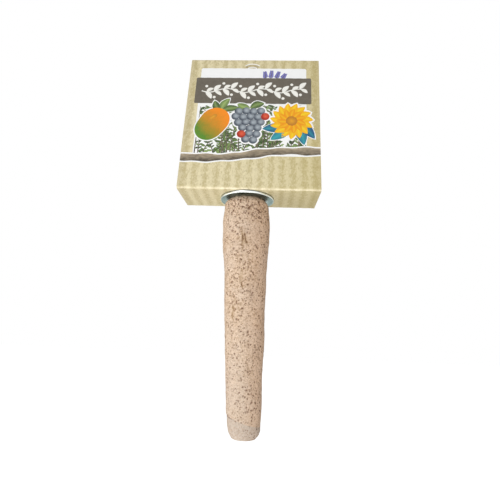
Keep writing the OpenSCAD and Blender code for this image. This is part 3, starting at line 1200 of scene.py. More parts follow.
    def tip_coat(self) -> Piece:
        """The thin coat on the tip: sides, a rounded edge, the uneven end face and its inside.

        Sides follow the rings below the ledge. The end face shrinks the last ring to its middle,
        and the inside repeats both at the bare branch.

        Returns:
            The piece.
        """
        below = 1 - self.ledge_share
        crowded = 1 - (1 - np.linspace(0, 1, self.tip_rows)) ** 1.5
        s, a = self.grid(self.ledge_share + below * crowded)
        along = (s - self.ledge_share) / below
        pit = self.pit_field(s, self.tip_pits)
        swell = self.tip_t * (1 + self.tip_swell * along)
        coat = roughened(self.bare_radius(s, a) + swell, a / TURN, along, self.tip_lumps)
        sides = self.place(s, a, coat - self.tip_pit_depth * pit)
        sides[..., 2] -= self.tip_t * along**4
        shrink = np.linspace(1, self.face_hole, self.face_rows)[1:]
        u, fa = np.meshgrid(shrink, a[0], indexing="ij")
        edge, middle = sides[-1], sides[-1].mean(0)
        face = middle + (edge - middle) * u[..., None]
        dome = np.sqrt(np.clip(1 - u**6, 0, 1))
        face[..., 2] += self.face_rough * roughened(0, fa / TURN, u, self.face_lumps) * dome * u
        si, ai = self.grid(np.linspace(1, self.ledge_share, self.tip_inner_rows))
        inner_sides = self.place(si, ai, self.bare_radius(si, ai))
        inner_edge, inner_middle = inner_sides[0], inner_sides[0].mean(0)
        grow = np.linspace(self.face_hole, 1, self.inner_face_rows)[:-1, None, None]
        inner_face = inner_middle + (inner_edge - inner_middle) * grow
        points = np.concatenate([sides, face, inner_face, inner_sides])
        faces = ring_faces(len(points), self.sides, True)
        piece = make_piece("tip_skin", points.reshape(-1, 3), faces, self.soft_deg)
        left = 1 - smoothstep(*self.right_range, np.cos(a))
        down = (s - self.ledge_share) * self.bare_length
        # Painted shadow under the lip, on the left side of the tip
        under_lip_shade = 0.8 * left * (1 - smoothstep(0.1, 0.95, down))
        # The value tan is a weaker warm painted shade on the right side
        set_values(
            piece,
            {
                "pit": np.maximum(smoothstep(*self.pit_range, pit) * 0.6, under_lip_shade),
                "tan": 0.2 * self.tan(a),
                "cluster": 0.75 * smoothstep(-0.5, 0.8, np.cos(a)),
            },
        )
        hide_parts("tip_coat")
        return piece

    def build(self) -> None:
        """Makes and dresses both coats, and gives the bare branch its wood."""
        grit = GritFinish("pitted_grit", (0.735, 0.563, 0.418), (0.46, 0.325, 0.217))
        fine = GritFinish(
            "fine_grit", (0.59, 0.495, 0.41), (0.48, 0.39, 0.315), rosy=(0.58, 0.49, 0.41),
            dimple_shade=(0.2, 0.0), filled=0.05, veined=0.5, relief_mm=0.18,
        )
        dress(self.grit_coat(), grit.material(), self.body)
        dress(self.tip_coat(), fine.material(), self.body)
        paint(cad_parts["branch_core"], WoodFinish("branch_wood").material())


# Hardware


@dataclass
class Hardware:
    """Stud, washers and nut, turned from profiles about the stud's axis."""

    stud_r: float = 3.0
    stud_low: float = -31.55
    stud_top: float = 28.45
    stud_least: float = 0.06
    wood_top: float = -2.4
    neck_l: float = 4.0
    pitch: float = 1.0
    wood_pitch: float = 2.6
    thread_depth: float = 0.56
    wood_depth: float = 0.85
    flank: float = 1.45
    root: float = 0.2
    point_l: float = 5.0
    chamfer: float = 0.7
    hole_r: float = 3.2
    large_r: float = 16.0
    large_t: float = 1.5
    small_r: float = 9.0
    small_t: float = 1.6
    small_z: float = 6.30
    roll: float = 0.42
    burr: float = 0.12
    lead: float = 0.22
    nut_z: float = 7.95
    nut_h: float = 5.0
    nut_af: float = 10.0
    nut_hole_r: float = 3.05
    nut_thread: float = 0.3
    nut_cone_deg: float = 30
    stud_rows: int = 721
    stud_sides: int = 48
    washer_sides: int = 144
    arc_points: int = 7
    nut_sides: int = 192
    nut_rows: int = 41
    nut_thread_rows: int = 101
    sharp_deg: float = 50
    nut_sharp_deg: float = 35
    waves: tuple[Lumps, ...] = (Lumps(0.012, (9, 4), 21),)

    def thread(self, z: Array, a: Array, pitch: float) -> Array:
        """Depth share of a thread: a triangle wave of height less turn, cut flat at both ends."""
        phase = (z / pitch - a / TURN) % 1
        return np.clip((1 - np.abs(2 * phase - 1)) * self.flank - self.root, 0, 1)

    def stud(self) -> Piece:
        """The stud: a coarse thread with a point below, a plain neck and a fine thread above.

        Returns:
            The piece.
        """
        rows = np.linspace(self.stud_low, self.stud_top, self.stud_rows)
        z, a = np.meshgrid(rows, angles(self.stud_sides), indexing="ij")
        point = np.clip((z - self.stud_low) / self.point_l, 0.03, 1)
        end = np.clip(self.stud_r - self.chamfer + (self.stud_top - z), 0, self.stud_r)
        below_neck = z < self.wood_top - self.neck_l
        wood = self.wood_depth * self.thread(z, a, self.wood_pitch) * below_neck
        fine = self.thread_depth * self.thread(z, a, self.pitch)
        fine = fine * smoothstep(-0.8, 0.2, z - self.wood_top)
        r = np.minimum((self.stud_r - wood) * point - fine, end)
        r = np.maximum(r, self.stud_least)
        faces = ring_faces(self.stud_rows, self.stud_sides, False)
        piece = make_piece("threaded_stud", lathe(r, a, z), faces, self.sharp_deg)
        crest = 1 - np.clip((self.stud_r - r) / self.thread_depth, 0, 1)
        set_values(piece, {"edge": 0.6 * crest**3})
        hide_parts("hanger_stud")
        return piece

    def washer_profile(self, outer: float, thick: float) -> tuple[Array, Array]:
        """A washer's cut face: quarter arcs at its four edges and straight lines between them.

        The upper outer edge is rolled, the lower one has a small burr, and the hole is eased.

        Args:
            outer: outer radius.
            thick: thickness.
        Returns:
            Radius and height of the points, from the rolled edge down and round.
        """
        roll, burr, lead = self.roll, self.burr, self.lead
        arc = np.linspace(0, math.pi / 2, self.arc_points)
        flats = np.concatenate([[0.02, 0.05], np.linspace(0.1, 1, 9)[:-1]])
        hole = self.hole_r + lead
        rim = np.linspace(thick - roll, burr, 9)[1:-1]
        corners = [
            (outer - roll + roll * np.sin(arc), thick - roll + roll * np.cos(arc)),
            (np.full(len(rim), outer), rim),
            (outer - burr + burr * np.cos(arc), burr - burr * np.sin(arc)),
            (outer - burr + (hole - outer + burr) * flats, 0 * flats),
            (hole - lead * np.sin(arc), lead - lead * np.cos(arc)),
            (hole - lead * np.cos(arc), thick - lead + lead * np.sin(arc)),
            (outer - roll + (hole - outer + roll) * flats[::-1], thick + 0 * flats),
        ]
        return np.concatenate([c[0] for c in corners]), np.concatenate([c[1] for c in corners])

    def washer(
        self, name: str, node: str, outer: float, thick: float, low: float, down: bool
    ) -> Piece:
        """A stamped washer: a rolled edge on one side, a burred edge on the other, a punched hole.

        Args:
            name: the piece's name.
            node: the CAD node that it stands for.
            outer: outer radius.
            thick: thickness.
            low: height of its lower face.
            down: whether the rolled edge is on the lower side.
        Returns:
            The washer.
        """
        r, z = self.washer_profile(outer, thick)
        # Painted light and shade on the washer: a painted sheen over its inner part, a painted
        # highlight on its outer rim, and a painted shadow on the rim's wall next to the card
        lightening = 0.4 * (1 - smoothstep(0.66 * outer, 0.86 * outer, r))
        painted_sheen = smoothstep(outer - 0.3, outer - 0.04, r) + lightening
        contact_shade = 0.9 * (1 - smoothstep(0.3, 0.62, z)) * (r > outer - 0.4)
        z = low + (thick - z if down else z)
        rr, a = np.meshgrid(r, angles(self.washer_sides), indexing="ij")
        wave = roughened(0, a / TURN, rr / outer, self.waves) * (rr < outer - 1)
        faces = ring_faces(len(r), self.washer_sides, True)
        piece = make_piece(name, lathe(rr, a, z[:, None] + wave), faces, self.sharp_deg)
        marks = {"edge": painted_sheen, "contact_shade": contact_shade}
        set_values(piece, {key: np.repeat(v, self.washer_sides) for key, v in marks.items()})
        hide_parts(node)
        return piece

    def nut(self) -> Piece:
        """The nut: six flats cut back by a cone at both ends, with a threaded hole.

        Returns:
            The piece.
        """
        a, half, sixth = angles(self.nut_sides), self.nut_af / 2, math.pi / 3
        flat = half / np.cos((a + sixth / 2) % sixth - sixth / 2)
        z_out = self.nut_h * (0.5 - 0.5 * np.cos(math.pi * np.linspace(0, 1, self.nut_rows)))
        to_end = np.minimum(z_out, self.nut_h - z_out)
        cone = half + to_end / math.tan(math.radians(self.nut_cone_deg))
        outer = np.minimum(flat[None, :], cone[:, None])
        sink = self.pitch / 2
        z_in = np.linspace(self.nut_h, 0, self.nut_thread_rows)
        zi, ai = np.meshgrid(z_in, a, indexing="ij")
        flare = np.clip(sink - np.minimum(zi, self.nut_h - zi), 0, sink)
        thread = self.nut_thread * self.thread(zi, ai, self.pitch) * (flare <= 0)
        r = np.concatenate([outer, self.nut_hole_r + flare + thread])
        z = np.concatenate([z_out, z_in])[:, None] + self.nut_z
        faces = ring_faces(len(r), self.nut_sides, True)
        piece = make_piece("threaded_nut", lathe(r, a, z), faces, self.nut_sharp_deg)
        set_values(piece, {"edge": 0.7 * smoothstep(half + 0.45, half + 0.75, r)})
        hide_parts("hex_nut")
        return piece

    def build(self) -> None:
        """Makes and dresses the four pieces."""
        plate = ZincFinish("zinc_washer").material()
        thread = ZincFinish("zinc_thread", (0.66, 0.70, 0.70), (0.44, 0.48, 0.48)).material()
        dress(self.stud(), thread, "perch")
        for node, outer, thick, low, down in (
            ("large_washer", self.large_r, self.large_t, -self.large_t, True),
            ("small_washer", self.small_r, self.small_t, self.small_z, False),
        ):
            washer = self.washer(f"{node}_plate", node, outer, thick, low, down)
            dress(washer, plate, node)
        dress(self.nut(), thread, "nut")


# Sleeve


@dataclass
class CardSleeve:
    """The folded corrugated card: its outer liner, and the papers inside it."""

    body: str = "sleeve"
    width: float = 82.0
    depth: float = 33.0
    panel_h: float = 94.8
    board_t: float = 3.05
    liner_t: float = 0.4
    flute: float = 6.3
    crease_r: float = 1.6
    hole_d: float = 7.0
    middle: float = 1.3
    play: float = 0.05
    flap_play: float = 0.1
    fold_play: float = 0.2
    outer_short: float = 1.5
    inner_short: float = 0.5
    slot_w: float = 8.0
    slot_h: float = 1.8
    slot_r: float = 6.0
    slot_drop: float = 4.4
    slot_crush: float = 0.32
    cut_past: float = 1.5
    washboard: float = 0.10
    # Distances from a crease between which the flutes come in
    wash_range: Range = (0.5, 6.0)
    columns: int = 157
    stretch_step: float = 2.2
    arc_points: int = 13
    hole_sides: int = 64
    face_sharp_deg: float = 45
    wear: tuple[Lumps, ...] = (Lumps(0.04, (26, 9), 31),)
    ragged: tuple[Lumps, ...] = (Lumps(0.4, (47, 2), 33),)
    strip: Array = field(init=False)

    def __post_init__(self) -> None:
        """Works out the corners of the folded strip as [y, z], from free edge to free edge."""
        half, top = self.depth / 2, self.board_t + self.fold_play
        lean = math.asin((half - top) / self.panel_h)
        fold_z = self.play + self.panel_h * math.cos(lean)
        inner_z = self.play + self.board_t + self.flap_play
        front_y = -half + self.board_t / math.cos(lean)
        front_y += (inner_z + self.board_t - self.play) * math.tan(lean)
        self.strip = np.array(
            [
                [half - self.outer_short, self.play], [-half, self.play], [-top, fold_z],
                [top, fold_z], [half, inner_z], [front_y + self.inner_short, inner_z],
            ]
        )

    def panel(self, back: bool) -> tuple[Array, Array]:
        """Foot and head of the front or the back panel, as [y, z]."""
        return (self.strip[4], self.strip[3]) if back else (self.strip[1], self.strip[2])

    def on_panel(self, x: Array, h: Array, out: Array | float, back: bool = False) -> Array:
        """Points on a panel's outer face, or over it.

        Args:
            x: place across, from the stud's axis.
            h: distance up the panel from its bottom crease.
            out: height over the face, negative inside the board.
            back: whether the panel is the back one.
        Returns:
            The points.
        """
        foot, head = self.panel(back)
        up = (head - foot) / np.linalg.norm(head - foot)
        away = np.array([up[1], -up[0]]) if back else np.array([-up[1], up[0]])
        out = np.broadcast_to(out, h.shape)
        yz = foot + h[..., None] * up + out[..., None] * away
        return np.concatenate([np.broadcast_to(x, h.shape)[..., None], yz], -1)

    def inward(self, i: int) -> Array:
        """Inward normal of the strip's stretch i.

        Args:
            i: the stretch's number, from the outer flap on.
        Returns:
            The normal as [y, z].
        """
        d = self.strip[i + 1] - self.strip[i]
        d = d / np.linalg.norm(d)
        return np.array([d[1], -d[0]])

    def bends(self, depth: float) -> list[Array]:
        """The strip's two free edges and the arcs of its creases between them.

        A crease is an arc round its own centre, with the same number of points at every depth.

        Args:
            depth: depth under the outer face.
        Returns:
            The points of each as [y, z].
        """
        last = len(self.strip) - 1
        arcs = [(self.strip[0] + depth * self.inward(0))[None, :]]
        for i in range(1, last):
            a, b = self.inward(i - 1), self.inward(i)
            centre = self.strip[i] + self.crease_r * (a + b) / (1 + a @ b)
            turn = math.acos(np.clip(a @ b, -1, 1))
            t = math.atan2(-a[1], -a[0]) - turn * np.linspace(0, 1, self.arc_points)
            arcs.append(centre + (self.crease_r - depth) * np.stack([np.cos(t), np.sin(t)], -1))
        arcs.append((self.strip[last] + depth * self.inward(last - 1))[None, :])
        return arcs

    def line(self, depth: float) -> tuple[Array, Array, Array]:
        """The strip's outline at a depth: its bends, with a point every few millimetres between.

        Args:
            depth: depth under the outer face.
        Returns:
            The points as [y, z], how much each may wash (0 at creases) and how creased it is.
        """
        last = len(self.strip) - 1
        arcs = self.bends(depth)
        bend = np.sin(np.linspace(0, math.pi, self.arc_points))
        points, wash, crease = [arcs[0]], [np.ones(1)], [np.zeros(1)]
        for i in range(last):
            p, q = arcs[i][-1], arcs[i + 1][0]
            long = float(np.linalg.norm(self.strip[i + 1] - self.strip[i]))
            t = np.linspace(0, 1, max(3, int(long / self.stretch_step)) + 1)[1:-1]
            after = t if i > 0 else np.ones_like(t)
            before = 1 - t if i < last - 1 else np.ones_like(t)
            folded = i + 1 < last
            points += [p + (q - p) * t[:, None], arcs[i + 1]]
            wash.append(smoothstep(*self.wash_range, np.minimum(after, before) * long))
            wash.append(np.zeros(self.arc_points) if folded else np.ones(1))
            crease += [np.zeros_like(t), bend**5 if folded else np.zeros(1)]
        return np.concatenate(points), np.concatenate(wash), np.concatenate(crease)

    def sag(self, x: Array) -> Array:
        """How far the liner sinks between two flutes: a raised cosine of the place across."""
        return self.washboard * (0.5 + 0.5 * np.cos(TURN * (x - self.middle) / self.flute))

    def slot_outline(self, grow: float) -> Array:
        """The arched slot's outline: two arcs and two round ends.

        Args:
            grow: how far it is grown on every side.
        Returns:
            The points as [x, up] from the slot's middle.
        """
        reach = math.asin((self.slot_w - self.slot_h) / 2 / self.slot_r)
        half = self.slot_h / 2 + grow
        t = np.linspace(-reach, reach, 33)
        cap = np.linspace(0, math.pi, 9)[1:-1]
        arcs = [
            np.stack([r * np.sin(t[::way]), r * np.cos(t[::way]) - self.slot_r], -1)
            for r, way in ((self.slot_r + half, 1), (self.slot_r - half, -1))
        ]
        ends = []
        for side in (1, -1):
            centre = self.slot_r * np.array([side * math.sin(reach), math.cos(reach) - 1])
            angle = (math.pi / 2 - side * reach) - side * cap
            ends.append(centre + half * np.stack([np.cos(angle), np.sin(angle)], -1))
        return np.concatenate([arcs[0], ends[0], arcs[1], ends[1][::-1]])

    def slot_piece(
        self, name: str, back: bool, rings: list[Place], closed: bool, sharp_deg: float
    ) -> Piece:
        """A piece made of rings of the slot's outline.

        Args:
            name: the piece's name.
            back: whether it is at the back panel's slot.
            rings: how far each ring is grown, and its height over the panel.
            closed: whether the last ring joins the first.
            sharp_deg: the angle above which an edge stays sharp.
        Returns:
            The piece.
        """
        foot, head = self.panel(back)
        h = float(np.linalg.norm(head - foot)) - self.slot_drop - self.slot_h / 2
        made = []
        for grow, out in rings:
            outline = self.slot_outline(grow)
            made.append(self.on_panel(outline[:, 0], h + outline[:, 1], out, back))
        faces = ring_faces(len(rings), len(made[0]), closed)
        return make_piece(name, np.concatenate(made), faces, sharp_deg)

    def slot_cutter(self, name: str, back: bool) -> Piece:
        """A closed arch that cuts the hang slot through one panel."""
        rings = [(0.0, self.cut_past), (0.0, -self.board_t - self.cut_past)]
        return self.slot_piece(name, back, rings, False, 40)

    def slot_wall(self, name: str, back: bool) -> Piece:
        """The squeezed edge of the board round the hang slot, from liner to liner.

        Args:
            name: the piece's name.
            back: whether it is in the back panel.
        Returns:
            The piece.
        """
        low, high = -self.board_t + 0.1, -0.15
        rings = [(0.0, high), (self.slot_crush, high), (self.slot_crush, low), (0.0, low)]
        return self.slot_piece(name, back, rings, True, 50)

    def hole_cutter(self) -> Piece:
        """A closed rod that cuts the stud's hole through both flaps.

        Returns:
            The rod.
        """
        z, a = np.meshgrid((-2.0, 9.0), angles(self.hole_sides), indexing="ij")
        faces = ring_faces(2, self.hole_sides, False)
        return make_piece("hole_cutter", lathe(self.hole_d / 2, a, z), faces)

    def outer_liner(self) -> Piece:
        """The outer liner: the folded strip with the flutes showing, slots and hole cut out.

        Returns:
            The piece.
        """
        outer, wash, crease = self.line(0.0)
        inner, _, _ = self.line(self.liner_t)
        normal = inner - outer
        normal /= np.linalg.norm(normal, axis=1)[:, None]
        x = self.middle + np.linspace(-self.width / 2, self.width / 2, self.columns)
        across = x[None, :] / self.width
        along = np.linspace(0, 1, len(outer))[:, None]
        wear = roughened(0, across, along, self.wear) * (crease > 0.3)[:, None]
        sink = self.sag(x)[None, :] * wash[:, None] + wear
        sheets = []
        for base, depth in ((outer, sink), (inner, np.minimum(sink, 0.0))):
            yz = base[:, None, :] + normal[:, None, :] * depth[..., None]
            xx = np.broadcast_to(x[None, :, None], (*yz.shape[:2], 1))
            sheets.append(np.concatenate([xx, yz], -1).reshape(-1, 3))
        quads = plate_faces(len(outer), len(x))
        triangles = [t for f in quads for t in (f[:3], [f[0], f[2], f[3]])]
        piece = make_piece("card_face", np.concatenate(sheets), triangles, self.face_sharp_deg)
        ragged = roughened(0.72, across, 0.5 + 0 * across, self.ragged)
        set_values(piece, {"crease": np.clip(crease[:, None] * ragged, 0, 1)})
        cutters = [self.slot_cutter("front_cutter", False), self.slot_cutter("back_cutter", True)]
        subtract(piece, [*cutters, self.hole_cutter()])
        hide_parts("sleeve_outer_liner")
        return piece

    def build(self) -> None:
        """Makes the outer liner and the slots' edges, and dresses the papers inside."""
        face = CardFinish("kraft_face", (0.775, 0.69, 0.45), (0.57, 0.485, 0.265), creased=True)
        inside = CardFinish("kraft_inside", (0.72, 0.62, 0.40), (0.55, 0.45, 0.26))
        waves = CardFinish("kraft_waves", (0.60, 0.49, 0.31), (0.45, 0.35, 0.2), flute_shade=0.0)
        # A lighter kraft for the slots' walls: painted light where the slot lies in shade
        slot_lit = CardFinish("kraft_slot_lit", (0.93, 0.85, 0.62), (0.82, 0.73, 0.48), flute_shade=0.0)
        dress(self.outer_liner(), face.material(), self.body)
        slot_lit_paper = slot_lit.material()
        for name, back in (("front_slot_edge", False), ("back_slot_edge", True)):
            dress(self.slot_wall(name, back), slot_lit_paper, self.body)
        paint(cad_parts["sleeve_inner_liner"], inside.material())
        paint(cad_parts["sleeve_fluting"], waves.material())


# Print


class Layer(Enum):
    """Height of a print layer's top over the card, in millimetres."""

    PICTURE = 0.030
    FOLIAGE = 0.042
    STEM = 0.054
    BAND = 0.066
    EDGE = 0.078
    TWIG = 0.090
    UNDER = 0.102
    MOTIF = 0.114
    UPPER = 0.126
    DETAIL = 0.138


class Ink(Enum):
    """The inks of the print: name, light and dark tone, and how strong its mottle is."""

    WHITE = InkFinish("ink_white", (0.97, 0.97, 0.965), (0.90, 0.905, 0.895), 0.5)
    GREEN = InkFinish("ink_green", (0.34, 0.47, 0.15), (0.02, 0.05, 0.015), 0.35)
    BARK = InkFinish(
        "ink_bark", (0.44, 0.36, 0.25), (0.045, 0.035, 0.025), 0.9, (0.35, 1.0, 1.0), 1100.0
    )
    BROWN = InkFinish("ink_brown", (0.165, 0.142, 0.11), (0.10, 0.086, 0.066), 0.8, grain=1100.0)
    VIOLET = InkFinish("ink_violet", (0.42, 0.42, 0.86), (0.03, 0.03, 0.22), 0.3)
    CREAM = InkFinish("ink_cream", (0.93, 0.92, 0.88), (0.80, 0.78, 0.70), 0.2)
    YELLOW = InkFinish("ink_yellow", (0.95, 0.70, 0.02), (0.85, 0.28, 0.005), 0.15)
    TEAL = InkFinish("ink_teal", (0.04, 0.36, 0.40), (0.015, 0.05, 0.18), 0.3)
    GREY = InkFinish("ink_grey", (0.44, 0.49, 0.53), (0.06, 0.075, 0.10), 0.25)
    RED = InkFinish("ink_red", (0.80, 0.12, 0.05), (0.35, 0.02, 0.01), 0.15)
    ORANGE = InkFinish("ink_orange", (0.92, 0.27, 0.01), (0.09, 0.24, 0.02), 0.28)
    GOLD = InkFinish("ink_gold", (0.90, 0.45, 0.02), (0.40, 0.13, 0.02), 0.2)


@dataclass
class Plate:
    """One printed shape: its grid on the panel and the tone at each of its points."""

    grid: Array
    tone: Array

    def grown(self, margin: float) -> "Plate":
        """The same shape with its edge a margin further from its middle.

        Args:
            margin: the margin in millimetres.
        Returns:
            The larger shape, in one tone.
        """
        middle = self.grid.mean((0, 1))
        size = np.linalg.norm(self.grid - middle, axis=-1).max()
        return Plate(middle + (self.grid - middle) * (1 + margin / size), 0 * self.tone + 0.5)


def disc(n: int) -> tuple[Array, Array]:
    """A square grid eased on to the unit disc.

    Args:
        n: points along each side of the grid.
    Returns:
        Distance from the disc's middle, and angle.
    """
    u, v = np.meshgrid(np.linspace(-1, 1, n), np.linspace(-1, 1, n), indexing="ij")
    x, y = u * np.sqrt(1 - v * v / 2), v * np.sqrt(1 - u * u / 2)
    return np.hypot(x, y), np.arctan2(y, x)


def turned(x: Array, h: Array, deg: float, at: Place) -> Array:
    """Turns a shape about its own middle and sets it down on the panel."""
    c, s = math.cos(math.radians(deg)), math.sin(math.radians(deg))
    return np.stack([at[0] + c * x - s * h, at[1] + s * x + c * h], -1)


def blob(
    at: Place,
    radius: Callable[[Array], Array],
    tone: Callable[[Array, Array], Array],
    deg: float = 0,
    n: int = 13,
) -> Plate:
    """A filled shape whose edge is a radius for each angle.

    Args:
        at: its middle on the panel.
        radius: the edge's distance in millimetres for an angle in radians.
        tone: tone from the distance share and the angle.
        deg: how far the shape is turned.
        n: points along each side of its grid.
    Returns:
        The shape.
    """
    rho, t = disc(n)
    r = rho * radius(t)
    return Plate(turned(r * np.cos(t), r * np.sin(t), deg, at), np.clip(tone(rho, t), 0, 1))


def leaf(
    at: Place, long: float, wide: float, deg: float, tone: float, grow: float = 0, n: int = 13
) -> Plate:
    """A pointed leaf: half width is a sine of the place along it, with a lighter midrib.

    Args:
        at: the foot of the leaf.
        long: its length.
        wide: its width.
        deg: the way it points, 0 towards +X and 90 up.
        tone: its mean tone.
        grow: how much larger its outline is on every side, for a contour.
        n: points along it.
    Returns:
        The leaf.
    """
    columns = 7 if n > 9 else 5
    u, v = np.meshgrid(np.linspace(0, 1, n), np.linspace(-1, 1, columns), indexing="ij")
    half = wide / 2 * np.sin(math.pi * u) ** 0.75 + grow * (1 - (2 * u - 1) ** 8) + 0.02
    x = -grow + u * (long + 2 * grow)
    bend = 0.09 * long * np.sin(math.pi * u)
    shade = np.clip(tone + 0.35 * (1 - np.abs(v)) ** 3 - 0.18 * np.abs(v), 0, 1)
    return Plate(turned(x, v * half + bend, deg, at), shade)


def ribbon(path: Array, half: Array, tone: float) -> Plate:
    """A strip along a path on the panel, darker on one side.

    Args:
        path: the points of its middle line.
        half: its half width at each of them.
        tone: its mean tone.
    Returns:
        The strip.
    """
    step = np.gradient(path, axis=0)
    step /= np.linalg.norm(step, axis=1)[:, None]
    side = np.stack([-step[:, 1], step[:, 0]], -1)
    v = np.linspace(-1, 1, 5)
    grid = path[:, None, :] + side[:, None, :] * (half[:, None] * v[None, :])[..., None]
    return Plate(grid, np.clip(tone + 0.4 * v[None, :] + 0 * half[:, None], 0, 1))


def rounded(low: Place, high: Place, corner: float) -> Plate:
    """A rectangle between two corners, with rounded corners that pull its columns in.

    Args:
        low: lower left corner.
        high: upper right corner.
        corner: radius of the corners.
    Returns:
        The shape.
    """
    ends = corner * np.array([0.02, 0.1, 0.3])
    middle = np.linspace(low[0], high[0], int((high[0] - low[0]) / 0.9))
    x = np.sort(np.concatenate([middle, low[0] + ends, high[0] - ends]))
    near = np.clip(corner - np.minimum(x - low[0], high[0] - x), 0, corner)
    pull = corner - np.sqrt(np.clip(corner**2 - near**2, 0, None))
    t = np.linspace(0, 1, int((high[1] - low[1]) / 2.0))[None, :]
    h = (low[1] + pull)[:, None] * (1 - t) + (high[1] - pull)[:, None] * t
    return Plate(np.stack([np.broadcast_to(x[:, None], h.shape), h], -1), np.full(h.shape, 0.5))


@dataclass
class Print:
    """A plain printed picture on the front panel: a band with a garland, fruit and a flower.

    Places are in millimetres from the card's middle and up from the front crease.
    """

    sleeve: CardSleeve
    edge: float = 0.9
    sunk: float = -0.02
    inset: float = 0.04
    sharp_deg: float = 60
    seed: int = 8
    fruit_at: Place = (-24.5, 43.5)
    flower_at: Place = (24.0, 47.0)
    grapes_at: Place = (-1.5, 53.5)
    garland_h: float = 69.5
    garland_wave: Place = (1.5, 3.55)
    garland_leaves: int = 12
    picture: tuple[Place, Place] = ((-34, 22), (33, 87.3))
    band: tuple[Place, Place] = ((-36.5, 59.5), (36, 79.5))
    foliage_x: float = 33.0
    foliage_h: float = 59.0
    curl: float = 1.6
    # Foliage stems: foot across, foot up, length, lean
    sprays: tuple[tuple[int, int, int, int], ...] = (
        (-31, 23, 34, 2), (-28, 23, 12, 6), (-22, 23, 10, -4), (-17, 23, 14, 4),
        (-14, 24, 34, -3), (-12, 24, 32, 5), (-9, 24, 14, -6), (-4, 25, 10, 5), (2, 25, 12, 7),
        (7, 25, 33, 5), (10, 26, 32, -2), (13, 26, 16, 6), (18, 26, 12, -5), (23, 26, 10, 4),
        (28, 26, 14, 3), (31, 26, 31, -3), (12, 26, 30, 12), (-16, 24, 32, -10),
        (-33, 23, 34, 1), (-18, 24, 34, 5), (4, 25, 33, 4), (15, 26, 32, -2), (28, 26, 32, 4),
        (-7, 25, 33, -4),
    )
    # Lavender sprigs: foot across, length, the way they point in degrees
    sprigs: tuple[tuple[float, float, float], ...] = (
        (7.5, 5.8, 97), (10.6, 6.6, 84), (14.0, 6.0, 72), (17.6, 4.6, 60),
    )
    # Berries in each row of the bunch, and the row and place of the red ones
    bunch: tuple[int, ...] = (4, 5, 4, 3, 3, 2)
    red_berries: tuple[tuple[int, int], ...] = ((1, 4), (4, 0))

    def solid(self, plate: Plate, layer: Layer) -> tuple[Array, Faces]:
        """A closed plate that follows the card's face.

        Args:
            plate: the shape on the panel.
            layer: its height over the card.
        Returns:
            Its points, the upper grid first, and its faces.
        """
        card = self.sleeve
        limit = card.width / 2 - self.inset
        x = card.middle + np.clip(plate.grid[..., 0], -limit, limit)
        h = plate.grid[..., 1]
        sink = card.sag(x) * smoothstep(*card.wash_range, np.minimum(h, card.panel_h - h))
        sides = [card.on_panel(x, h, lift - sink) for lift in (layer.value, self.sunk)]
        points = np.concatenate([side.reshape(-1, 3) for side in sides])
        return points, outward(points, plate_faces(*h.shape))

    def sheet(self, name: str, layer: Layer, ink: Ink, plates: list[Plate]) -> None:
        """Joins the plates of one ink and layer into a piece, and dresses it.

        Args:
            name: the piece's name.
            layer: its height over the card.
            ink: its ink.
            plates: its shapes.
        """
        points, faces, tones, start = [], [], [], 0
        for plate in plates:
            solid, made = self.solid(plate, layer)
            faces.extend([[i + start for i in face] for face in made])
            points.append(solid)
            tones.append(np.tile(plate.tone.ravel(), 2))
            start += len(solid)
        piece = make_piece(name, np.concatenate(points), faces, self.sharp_deg)
        set_values(piece, {"tone": np.concatenate(tones)})
        dress(piece, ink.value.material(), self.sleeve.body)

    def foliage(self) -> tuple[list[Plate], list[Plate]]:
        """Leaf sprays over the white field: stems that curve up, with leaves on both sides.

        Returns:
            The leaves that lie inside the field, and the stems.
        """
        rng = np.random.default_rng(self.seed)
        leaves, stems = [], []
        t = np.linspace(0, 1, 12)
        for foot_x, foot_h, long, lean in self.sprays:
            path = np.stack([foot_x + lean * t**self.curl, foot_h + long * t], -1)
            path_half = 0.34 * (1 - 0.6 * t)
            stems.append(ribbon(path, path_half, 0.15))
            for k in np.linspace(0.04, 1, max(6, long // 2)):
                at = (float(foot_x + lean * k**self.curl), float(foot_h + long * k))
                for side in (1, -1):
                    deg = 90 - lean * 1.6 + side * rng.uniform(25, 85)
                    size = rng.uniform(2.0, 4.2) * (1.1 - 0.2 * k)
                    tone = float(rng.uniform(-0.2, 0.65))
                    leaves.append(leaf(at, size, size * 0.4, deg, tone, n=8))
        inside = [
            p
            for p in leaves
            if np.abs(p.grid[..., 0]).max() < self.foliage_x
            and p.grid[..., 1].max() < self.foliage_h
        ]
        limit = [40, self.foliage_h - 0.5]
        return inside, [Plate(np.minimum(p.grid, limit), p.tone) for p in stems]

    def twig(self, grow: float) -> Plate:
        """A knobbly twig across the panel, sloping up to the right: width is a sum of sines.

        Args:
            grow: how much wider it is on each side, for a contour.
        Returns:
            The twig.
        """
        t = np.linspace(-41, 41, 110)
        h = 23.0 + 0.085 * t + 0.9 * np.sin(t / 10)
        half = 2.3 + 0.28 * np.sin(t / 2.3) + 0.25 * np.sin(t / 5.1 + 1) + grow
        return ribbon(np.stack([t, h], -1), half, 0.5)

